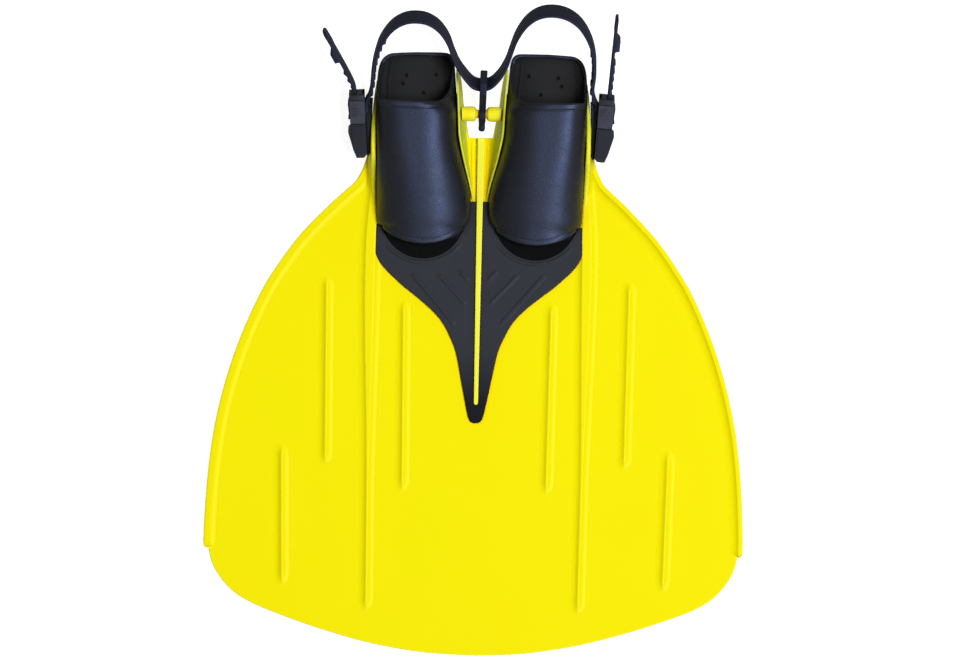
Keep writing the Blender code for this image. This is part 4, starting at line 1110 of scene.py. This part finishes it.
# %% Shell grid
ROUND_ROWS, BASE_COUNT, FINE_COUNT = 130, 300, 240
TOE_SHARE, RIM_SHARE = 0.24, 0.36
TOE_MARKS = np.array([0, 0.7, 1.5, 2.5, 3.5, 4.2, 4.6, 5.0, 5.4, 5.8, 6.2, 6.8, 8, 9.5, 11.5, 14])
RIM_MARKS = np.array([0, 0.8, 1.8, 3, 4.2, 5.0, 5.3, 5.6, 5.9, 6.2, 6.5, 6.8, 7.2, 8, 10, 14])
MIDDLE_MARKS = np.linspace(0, 1, 24)[1:-1]
LIP_H, LIP_RUN, LIP_STEP = 0.9, 6.2, 1.1
LIP_GROOVE = (6.8, 0.7, -0.35)
SEAM = (5.4, 0.6, -1.0)
HIGH_SIDE, TOE_FRONT = (40, 62), (TOE_Y + 1, TOE_Y - 2)
MARKS_FIT = 34


def bump(distance, shape):
    """Bell-shaped move: height · exp(−((distance − middle) / width)²)."""
    middle, width, height = shape
    return height * np.exp(-((distance - middle) / width)**2)


def along_run(track, line, shares):
    """Points of a (share, angle) line at given shares of its length on the surface."""
    run = run_of(shell_point(track, line[:, 0], line[:, 1]))
    return np.column_stack([np.interp(shares * run[-1], run, line[:, k]) for k in (0, 1)])


def half_shell(track):
    """Rows round one side, from the top of the arch to the middle of the heel. Returns points and distances.

    The distances are those to the sole or toe rim and to the heel rim, along each row."""
    toe, rim = toe_rim(track), heel_rim(track)
    base = np.column_stack([np.linspace(toe[-1, 0], 1, BASE_COUNT), np.zeros(BASE_COUNT)])
    step = np.linspace(0, 1, ROUND_ROWS)
    on_toe = step < TOE_SHARE
    toe_step, base_step = step / TOE_SHARE, (step - TOE_SHARE) / (1 - TOE_SHARE)
    low = np.where(
        on_toe[:, None], along_run(track, toe, np.clip(toe_step, 0, 1)),
        along_run(track, base, np.clip(base_step, 0, 1)),
    )
    rim_step = np.where(on_toe, toe_step * RIM_SHARE, RIM_SHARE + base_step * (1 - RIM_SHARE))
    high = along_run(track, rim, rim_step)
    fine = np.linspace(0, 1, FINE_COUNT)[None, :]
    share = low[:, :1] * (1 - fine) + high[:, :1] * fine
    angle = low[:, 1:] * (1 - fine) + high[:, 1:] * fine
    lines = shell_point(track, share, angle)
    grid, marks = [], []
    for line in lines:
        run = run_of(line)
        free = run[-1] - WALL
        small = min(1, free / MARKS_FIT)
        near, far = TOE_MARKS * small, free - RIM_MARKS[::-1] * small
        at = np.concatenate([near, near[-1] + MIDDLE_MARKS * (far[0] - near[-1]), far]) + WALL / 2
        grid.append(even(line, at / run[-1]))
        marks.append(np.column_stack([at, run[-1] - at]))
    return np.array(grid), np.array(marks)


def pocket_shell():
    """Closed rubber shell: both skins, with a half circle over each rim."""
    outer, outer_marks = half_shell(TRACKS[1])
    inner, inner_marks = half_shell(TRACKS[-1])
    skin = np.vstack([outer, inner[-2:0:-1]])
    marks = np.vstack([outer_marks, inner_marks[-2:0:-1]])
    round_step = np.roll(skin, -1, 0) - np.roll(skin, 1, 0)
    up_step = np.gradient(skin, axis=1)
    normal = np.cross(round_step, up_step)
    normal /= np.linalg.norm(normal, axis=2)[..., None]
    middle = skin.reshape(-1, 3).mean(0)
    if np.sum(normal * (skin - middle)) < 0:
        normal = -normal
    high_up = ramp(skin[:, -1, 2], *HIGH_SIDE)[:, None]
    at_toe = ramp(skin[:, 0, 1], *TOE_FRONT)[:, None]
    lip = LIP_H * ramp(marks[..., 1], LIP_RUN, LIP_RUN - LIP_STEP) + bump(marks[..., 1], LIP_GROOVE)
    move = lip * high_up + bump(marks[..., 0], SEAM) * at_toe
    outside = skin + normal * move[..., None]
    inside = skin - normal * WALL

    def rim_arc(column, over):
        """Half circle from the outer skin over the edge to the inner skin."""
        a = np.linspace(0, math.pi, 9)[1:-1][None, :, None]
        centre = (outside[:, column] + inside[:, column])[:, None] / 2
        reach = np.linalg.norm(outside[:, column] - inside[:, column], axis=1)[:, None, None] / 2
        away = over / np.linalg.norm(over, axis=1)[:, None]
        return centre + reach * (np.cos(a) * normal[:, column][:, None] + np.sin(a) * away[:, None])

    heel_arc = rim_arc(-1, skin[:, -1] - skin[:, -2])
    low_arc = rim_arc(0, skin[:, 0] - skin[:, 1])[:, ::-1]
    return tube(np.concatenate([outside, heel_arc, inside[:, ::-1], low_arc], 1), loop_rows=True)


shell = pocket_shell()
print("shell:", len(shell[0]), "points")

# %% [markdown]
# ## Soles
# The footbed is a thin rubber floor with four small drain holes near the heel and a soft fold where it
# meets the wall. The plan is a Coons patch, since both sides, the heel and the toe edge are curves of their
# own. Holes and fold are a height added to its upper side, so the drains are deep pits with raised lips,
# not cut through.

# %% Soles with drain holes
SOLE_INSET = 1.3
DRAINS = [(76.0, 253.0), (46.2, 254.2), (79.5, 244.6), (58.6, 235.8)]
COVE = 7.5
DRAIN_R, DRAIN_DEEP = 1.5, 2.4
DRAIN_LIP = (1.8 * DRAIN_R, 0.6, 0.35)
FOLD_BEAD = (COVE + 0.8, 0.8, 0.7)
FOLD_STARTS, FOLD_STOPS = (215, 235), (HEEL_Y - 4, HEEL_Y - 12)
ACROSS = 90
ALONG = np.concatenate([
    np.linspace(0, 0.72, 50, endpoint=False), np.linspace(0.72, 0.9, 46, endpoint=False),
    np.linspace(0.9, 1, 14),
])


def drains(x, y):
    """Pits and their raised lips: −depth · exp(−(d / r)⁴) + lip · exp(−((d − 1.8 r) / 0.6)²)."""
    height = np.zeros_like(x)
    for hole in DRAINS:
        d = np.hypot(x - hole[0], y - hole[1])
        height += -DRAIN_DEEP * np.exp(-(d / DRAIN_R)**4) + bump(d, DRAIN_LIP)
    return height


def sole_relief(x, y):
    """Drains, and a fold beside each wall: a cove, R − √(R² − (R − d)²) at d from the wall, and a bead."""
    inner, outer, _ = station(y)
    off_wall = np.minimum(x - inner, outer - x) - WALL
    cove = COVE - np.sqrt(COVE**2 - (COVE - np.clip(off_wall, 0, COVE))**2)
    fold = cove + bump(off_wall, FOLD_BEAD)
    return drains(x, y) + fold * ramp(y, *FOLD_STARTS) * ramp(y, *FOLD_STOPS)


def sole():
    """Footbed inside the wall's line. Its toe edge is an arc whose middle lies nearest the tail."""
    sides = {}
    for side, (path, inward, _) in TRACKS.items():
        keep = path[:, 1] > TOE_Y
        sides[side] = path[keep] + SOLE_INSET * inward[keep]
    corner = {side: np.argmax(side * line[:, 0] + line[:, 1]) for side, line in sides.items()}
    left, right = (even(sides[side][:corner[side] + 1], ALONG) for side in (-1, 1))
    heel = even(np.vstack([sides[-1][corner[-1]:], sides[1][corner[1]:][::-1][1:]]), ACROSS)
    half, middle = (right[0, 0] - left[0, 0]) / 2, (right[0, 0] + left[0, 0]) / 2
    radius = arc_radius(half, SOLE_DIP)
    reach = math.atan2(half, radius - SOLE_DIP)
    angle = np.linspace(-reach, reach, ACROSS)
    toe = points_of(middle + radius * np.sin(angle), left[0, 1] - SOLE_DIP + radius * (1 - np.cos(angle)))
    return relief_plate(coons(toe, heel, left, right), POCKET_LOW, SOLE_TOP, 1.0, sole_relief)


footbed = sole()
for side, hand in HANDS.items():
    pocket = [side + "_foot_pocket"]
    place(side + "_foot_shell", [hand(shell)], instep_rubber, "blade", pocket, 50)
    place(side + "_sole", [hand(footbed)], sole_rubber, "blade", pocket)

# %% [markdown]
# ## Toe web
# The web is a thin rubber plate that ties both pockets to the blade and runs down to a point along the
# keel. It is flat, so a rounded plate does: its heel side is tucked under the soles, and a narrow second
# plate fills in between the pockets. A raised lip follows each toe opening, and three faint bars a side
# stiffen it. Lips and bars are ridges like the ribs, but on one face only.

# %% Web
WEB_LOW, WEB_TOP = POCKET_LOW, 10.1
WEB_WING = 6.0
WEB_EDGE = [
    (103.2, 104.0), (103.6, 96), (103.8, 88), (103.9, 79), (103.6, 75.2), (102.2, 71.6), (94.8, 60.6),
    (77, 43.8), (64.5, 34), (47.5, 20), (34.8, 6), (24.8, -13), (20, -27), (14.5, -54.5), (8.4, -84),
    (5.6, -91.6), (2.4, -93.8),
]
WEB_BARS = [((8.5, 48), (20, 60)), ((11, 24), (41, 56)), ((22, 4), (67, 56))]
TOE_LIP_ARC, TOE_LIP_OUT = (-60, 56), 3.4


def web_apron():
    """Outline of the web. Its heel side runs straight under the soles, and reaches further at both ends."""
    inset = np.linspace(WEB_EDGE[0][0], 88.0, 14)[1:]
    wing = WEB_WING * ramp(inset, WEB_EDGE[0][0], WEB_EDGE[0][0] - 11)
    heel_side = np.column_stack([inset, WEB_EDGE[0][1] - wing])
    return both_sides(np.vstack([heel_side[::-1], even(curve_through(WEB_EDGE), 160)]))


def web_spine():
    """Outline of the narrow plate between the pockets."""
    side = curve_through([(10.0, 128.0), (11.2, 122), (14.5, 106), (18.0, 92), (30, 72)])
    return both_sides(even(side, 40))


def toe_lip():
    """Ridge on an arc a little outside the sole's toe edge, with about the same centre."""
    radius = arc_radius(TOE_HALF, SOLE_DIP)
    angle = np.radians(np.linspace(*TOE_LIP_ARC, 90))
    ring = radius + TOE_LIP_OUT
    line = points_of(TOE_MIDDLE + ring * np.sin(angle), TOE_Y - SOLE_DIP + radius - ring * np.cos(angle))
    return ridge(line, 0.7, 0.9, False, WEB_LOW, WEB_TOP, 2.6, 14)


raised = [toe_lip()]
raised += [ridge(np.linspace(*ends, 50), 1.0, 0.8, False, WEB_LOW, WEB_TOP, 3.4, 5) for ends in WEB_BARS]
web_parts = [plate(web_apron(), WEB_LOW, WEB_TOP, 1.2), plate(web_spine(), WEB_LOW, WEB_TOP - PROUD, 0.7)]
place("toe_web_plate", web_parts + both(raised), web_rubber, "blade", ["toe_web"])

# %% [markdown]
# ## The strap's line
# One toothed band loops behind both heels. Its centre line is drawn flat in the harness's own plane, which
# hangs on the studs and is tilted a little: the loop behind the heel, half a turn round the buckle's
# roller, out of its top bar, and the loose tail. The two halves of the real strap don't lie quite alike, so
# each has its own line.

# %% Strap line
TILT, LEAN = math.radians(10), math.radians(3.5)
INSERT_END, TOP_BAR_Y = 54.0, 48.4
ROLLER = (-3.2, 36.5)
WRAP_R = 5.0
TAIL_X = ROLLER[0] + WRAP_R
STRAP_LOOP = {
    "right": [
        (0, 244.1), (0.074, 246.8), (0.144, 255.5), (0.197, 267), (0.234, 280), (0.279, 294.5),
        (0.353, 308), (0.452, 316.8), (0.569, 319.4), (0.69, 316.5), (0.796, 307.5), (0.874, 292.5),
        (0.915, 276), (0.923, 260), (0.911, 245), (0.914, 237), (0.928, 231.2), (0.944, 227),
    ],
    "left": [
        (0, 244.1), (0.074, 246.8), (0.14, 255), (0.197, 264.5), (0.242, 276), (0.287, 290),
        (0.361, 302), (0.452, 309), (0.55, 310.9), (0.649, 309), (0.747, 301.5), (0.829, 288),
        (0.874, 273), (0.895, 260), (0.903, 247), (0.909, 239), (0.924, 232.3), (0.943, 228.2),
    ],
}
STRAP_TAIL = {
    "right": [(5.8, 243), (7.4, 262), (9.4, 285), (12.2, 316)],
    "left": [(6.8, 243), (13.6, 256), (22.2, 271), (29.7, 283.5), (37.7, 296.5)],
}
SIDES = {"right": 1, "left": -1}
harness = Matrix.Translation((0, STUD_Y, STUD_Z)) @ Matrix.Rotation(TILT, 4, "X")


def strap_line(side):
    """Centre line in the harness plane: the loop, round the roller, out of the top bar, and the tail."""
    loop = [(share * BUCKLE_X, (y - STUD_Y) / math.cos(TILT)) for share, y in STRAP_LOOP[side]]
    tail = [(BUCKLE_X + x, (y - STUD_Y) / math.cos(TILT)) for x, y in STRAP_TAIL[side]]
    turn = np.linspace(math.pi, 2 * math.pi, 9)
    wrap = np.column_stack([ROLLER[0] + WRAP_R * np.cos(turn), ROLLER[1] + WRAP_R * np.sin(turn)])
    inside = np.vstack([wrap, [(TAIL_X, y) for y in (ROLLER[1] + 5, TOP_BAR_Y, INSERT_END + 1)]])
    turn_back = np.array([(math.cos(LEAN), -math.sin(LEAN)), (math.sin(LEAN), math.cos(LEAN))])
    return curve_through(loop + (inside @ turn_back + (BUCKLE_X, 0)).tolist() + tail)


STRAP_LINES = {side: strap_line(side) for side in SIDES}
print("strap halves:", [round(run_of(line)[-1]) for line in STRAP_LINES.values()], "mm")

# %% [markdown]
# ## The strap's surface
# The grid runs along the strap and round its rounded section. Ratchet teeth, the end's grip tab and the
# tapered tip all change the thickness, as functions of the distance from the tip, so no tooth is a piece of
# its own. The section leans inward over the loops, as a band does that lies against a heel. The strap
# slides out with the buckle's insert when that is released.

# %% Strap surface
STRAP_W, STRAP_T = 24.5, 3.0
TOOTH_H, TOOTH_PITCH, TEETH = 1.8, 8.3, 17
TOOTH_STEPS = 12
TOOTH_STARTS, TOOTH_RISE, TOOTH_ENDS, TOOTH_FALL = 0.05, 0.25, 0.95, 0.6
TEETH_START, TAB_H = 44.0, 4.2
TAB_STARTS, TAB_STOPS, CUT_STARTS = (18.0, 24.0), (34.8, 33.8), (18.0, 15.0)
TIP_THIN, TIP_RUN, TIP_NARROW, TIP_ROUND, TIP_CUT = 0.7, 9, 0.65, 7, 0.5
STRAP_ROLL, TAIL_ROLL = math.radians(18), math.radians(3.5)
ROLL_STARTS, ROLL_RUN = INSERT_END + 6, 44
TAIL_FREE, TAIL_SETTLES = 66.0, 12
BUCKLE_HALF_T = 7.75


def tooth_marks(length):
    """Distances from the tip, the same number of them for every tooth, from the far end to the tip."""
    step = TOOTH_PITCH / TOOTH_STEPS
    marks = TEETH_START % step + step * np.arange(int(length / step - 1), -1, -1)
    return np.concatenate([[length], marks, [0.0]])


def strap_thickness(from_tip):
    """Height of teeth and tab on the outer side, cut on the inner side, and share left toward the tip.

    A tooth's height is the lower of a rise over a quarter of the pitch and a fall over 0.6 of it."""
    number = (from_tip - TEETH_START) / TOOTH_PITCH
    phase = number % 1
    saw = np.clip(np.minimum((phase - TOOTH_STARTS) / TOOTH_RISE, (TOOTH_ENDS - phase) / TOOTH_FALL), 0, 1)
    teeth = TOOTH_H * saw * (number > 0) * (number < TEETH)
    tab = TAB_H * ramp(from_tip, *TAB_STARTS) * ramp(from_tip, *TAB_STOPS)
    cut = TIP_CUT * ramp(from_tip, *CUT_STARTS)
    return teeth + tab, cut, np.clip(TIP_THIN + from_tip / TIP_RUN, 0, 1)


def strap_roll(line, from_tip):
    """Lean of the section: full over the loop, none inside the buckle, and a little at the loose tail."""
    across, height = np.abs(line[:, 0]), line[:, 1]
    roll = np.clip((height - ROLL_STARTS) / ROLL_RUN, 0, 1)
    roll[across < BUCKLE_X / 2] = 1
    roll = roll * (across < BUCKLE_X - BUCKLE_HALF_T - 1) * STRAP_ROLL
    tail = TAIL_ROLL * ramp(from_tip, TAIL_FREE, TAIL_FREE - TAIL_SETTLES)
    return np.where(from_tip < TAIL_FREE, tail, roll)


def strap_half(line):
    """Closed body of one half: at each mark the section, thickened, narrower at the tip, and leaned."""
    length = run_of(line)[-1]
    from_tip = tooth_marks(length)
    line = even(line, 1 - from_tip / length)
    proud, cut, left = (part[:, None] for part in strap_thickness(from_tip))
    near_tip = np.clip(from_tip / TIP_ROUND, 0, 1)[:, None]
    narrow = np.sqrt(near_tip * (2 - near_tip)) * (1 - TIP_NARROW) + TIP_NARROW
    corners = np.array([(-0.5, -0.5), (0.5, -0.5), (0.5, 0), (0.5, 0.5), (-0.5, 0.5), (-0.5, 0)])
    thick, wide = rounded(corners * (STRAP_T, STRAP_W), [0.9, 0.9, 4, 0.9, 0.9, 4], 6).T
    outer, inner = np.clip(thick / (STRAP_T / 2), 0, 1), np.clip(-thick / (STRAP_T / 2), 0, 1)
    thick = (thick - inner * cut) * left + outer * proud
    wide = wide * narrow
    roll = strap_roll(line, from_tip)[:, None]
    right_hand = -left_of(line)
    x = line[:, :1] + thick * right_hand[:, :1]
    y = line[:, 1:] + thick * right_hand[:, 1:] - wide * np.sin(roll)
    return tube(points_of(x, y, wide * np.cos(roll)))


for side, sign in SIDES.items():
    band = moved(HANDS[side](strap_half(STRAP_LINES[side])), harness)
    strap = place(side + "_strap", [band], strap_rubber, None, ["heel_strap"])
    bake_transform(strap)

# %% [markdown]
# ## Strap keeper
# A rubber link hangs on the crossbar and holds the strap's dip, so that the loops stay open for the heels.
# It is a tall eye round the strap, a round eye on the bar, a tapering neck between them and a tail to pull.
# Each is a rounded section carried round a closed path, or along a straight one with a changing width.

# %% Keeper
LINK_ANGLE = math.radians(24.4)
LINK_T, LINK_WALL, EYE_WALL = 7.2, 3.4, 3.8
EYE_NEAR, EYE_FAR, EYE_REACH = 26.4, 38.4, 13.85
BAR_EYE_R = 4.45
LINK_TAIL, TAIL_ROUND = 18.5, 3.0
LINK_SHIFT, LINK_YAW = 0.8, math.radians(-1.2)
NECK_ROWS = [(6.4, 6.2, 1), (12, 8.4, 1), (18, 11.2, 1), (23, 14.0, 1), (25.6, 15.2, 1)]
TAIL_ROWS = [(-6.6, 5.0, 1), (-10, 3.6, 0.9)]


def bar_section(width, thickness, radius=1.1):
    """Rectangle with round corners, centred."""
    half = np.array([(-0.5, -0.5), (0.5, -0.5), (0.5, 0.5), (-0.5, 0.5)]) * (width, thickness)
    return rounded(half, radius, 5)


def link_ring(path, wall):
    """Closed band in the link's own plane: y along the link, z across it, the band's breadth along x."""
    line = np.column_stack([np.zeros(len(path)), path])
    return sweep(line, bar_section(wall, LINK_T), up=(1, 0, 0), loop=True)


def link_plate(rows):
    """Plate along the link, from rows of (place along it, half height, share of the full breadth)."""
    along, half, broad = curve_through(rows, 6).T[..., None]
    section = bar_section(2, LINK_T, 0.9)
    return tube(points_of(section[:, 1] * broad, along, section[:, 0] * half))


def keeper():
    """The link's four bodies: strap eye, bar eye, neck, and a tail rounded by a quarter turn at its end."""
    mid = LINK_WALL / 2
    near, far, reach = EYE_NEAR - mid, EYE_FAR + mid, EYE_REACH + mid
    eye = rounded([(near, -reach), (far, -reach), (far, reach), (near, reach)], [4, 3, 3, 4], 8)
    angle = np.linspace(0, 2 * math.pi, 40, endpoint=False)
    ring_r = BAR_EYE_R + EYE_WALL / 2
    bar_eye = ring_r * np.column_stack([np.cos(angle), np.sin(angle)])
    turn = np.linspace(0, math.pi / 2, 7)
    end = TAIL_ROUND - LINK_TAIL - TAIL_ROUND * np.sin(turn)
    tail = np.vstack([TAIL_ROWS, points_of(end, 1.4 + 2 * np.cos(turn), 0.9 * np.cos(turn) + 0.02)])
    return [link_ring(eye, LINK_WALL), link_ring(bar_eye, EYE_WALL), link_plate(NECK_ROWS), link_plate(tail)]


link = Matrix.Translation((LINK_SHIFT, BAR_Y, BAR_Z)) @ Matrix.Rotation(LINK_YAW, 4, "Z")
link = link @ Matrix.Rotation(LINK_ANGLE, 4, "X")
link_bodies = [moved(body, link) for body in keeper()]
place("keeper_link", link_bodies, strap_rubber, "keeper", ["strap_keeper"])

# %% [markdown]
# ## Buckles
# The buckles are small precise mouldings, and their working shapes are the construction's own. A copy of
# each piece has its triangles merged back into flat faces, and a fine bevel then rounds every edge as a
# mould does, so that each edge catches a thin line of light. An anchor arm, which goes round the stud, and
# thin outer panels are added as plates.

# %% Buckle pieces
ARM_HALF, ARM_ROUND = 9.0, 1.4
BEVEL_STEPS, BEVEL_FROM = 3, math.radians(28)
PIN_BEVEL = 0.15


def softened(node, name, material, body, width):
    """Copy of a construction piece: points merged, flat faces joined, and every edge bevelled."""
    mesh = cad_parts[node].data.copy()
    outward(mesh, merged=True)
    soft = dress(name, mesh, material, body, [node], 60).modifiers.new("edges", "BEVEL")
    soft.width = width * MM
    soft.segments = BEVEL_STEPS
    soft.limit_method = "ANGLE"
    soft.angle_limit = BEVEL_FROM


# The arm reaches across the whole dark gap to the cheek. Part of that gap is the buckle's shadow, so this
# dark plate is partly a real arm and partly stands in for that shadow.
def anchor_arm():
    """Plate between the buckle and the cheek, round the stud, its upper and lower edges rounded."""
    outer = curve_through([(-7.6, -9.0), (-7.6, 10), (-7.6, 30), (-7.8, 47)])
    inner = curve_through([(-9.4, -10.2), (-11.2, -4), (-12.9, 12), (-14.2, 26), (-15.3, 38), (-16.0, 46.4)])
    return plate(np.vstack([outer, inner[::-1]]), -ARM_HALF, ARM_HALF, ARM_ROUND)


BUCKLE_PIECES = [
    ("buckle_housing", "harness", "housing", 0.5), ("buckle_insert", "{}_insert", "insert", 0.4),
    ("upper_arm", "{}_upper_arm", "upper_pad", 0.3), ("lower_arm", "{}_lower_arm", "lower_pad", 0.3),
    ("lever", "{}_lever", "pawl_lever", 0.3), ("roller", "{}_roller", "strap_roller", 0.25),
]
buckle = harness @ Matrix.Translation((BUCKLE_X, 0, 0)) @ Matrix.Rotation(-LEAN, 4, "Z")
PANEL = [(-6.5, 22.4), (-6.5, -5.0), (3.3, -5.0), (5.0, 0.6), (6.4, 7.0), (6.4, 22.4)]
PANEL_LOW, PANEL_TOP, PANEL_ROUND = 17.4, 18.8, 0.35
panel = rounded(PANEL, 0.8)
levels = [(PANEL_LOW, PANEL_TOP), (-PANEL_TOP, -PANEL_LOW)]
arm = moved(anchor_arm(), buckle)
panels = [moved(plate(panel, low, top, PANEL_ROUND), buckle) for low, top in levels]
for side, hand in HANDS.items():
    place(side + "_anchor_arm", [hand(arm)], buckle_nylon, "harness")
    side_panels = [hand(body) for body in panels]
    place(side + "_housing_panels", side_panels, buckle_nylon, "harness")
for side in HANDS:
    for node, body, name, width in BUCKLE_PIECES:
        softened(f"{side}_{node}", f"{side}_{name}", buckle_nylon, body.format(side), width)
    for pin in ("lever_pin", "roller_pin"):
        softened(f"{side}_{pin}", f"{side}_{pin}_bar", pin_steel, f"{side}_insert", PIN_BEVEL)
print("buckle pieces:", 2 * (len(BUCKLE_PIECES) + 2))
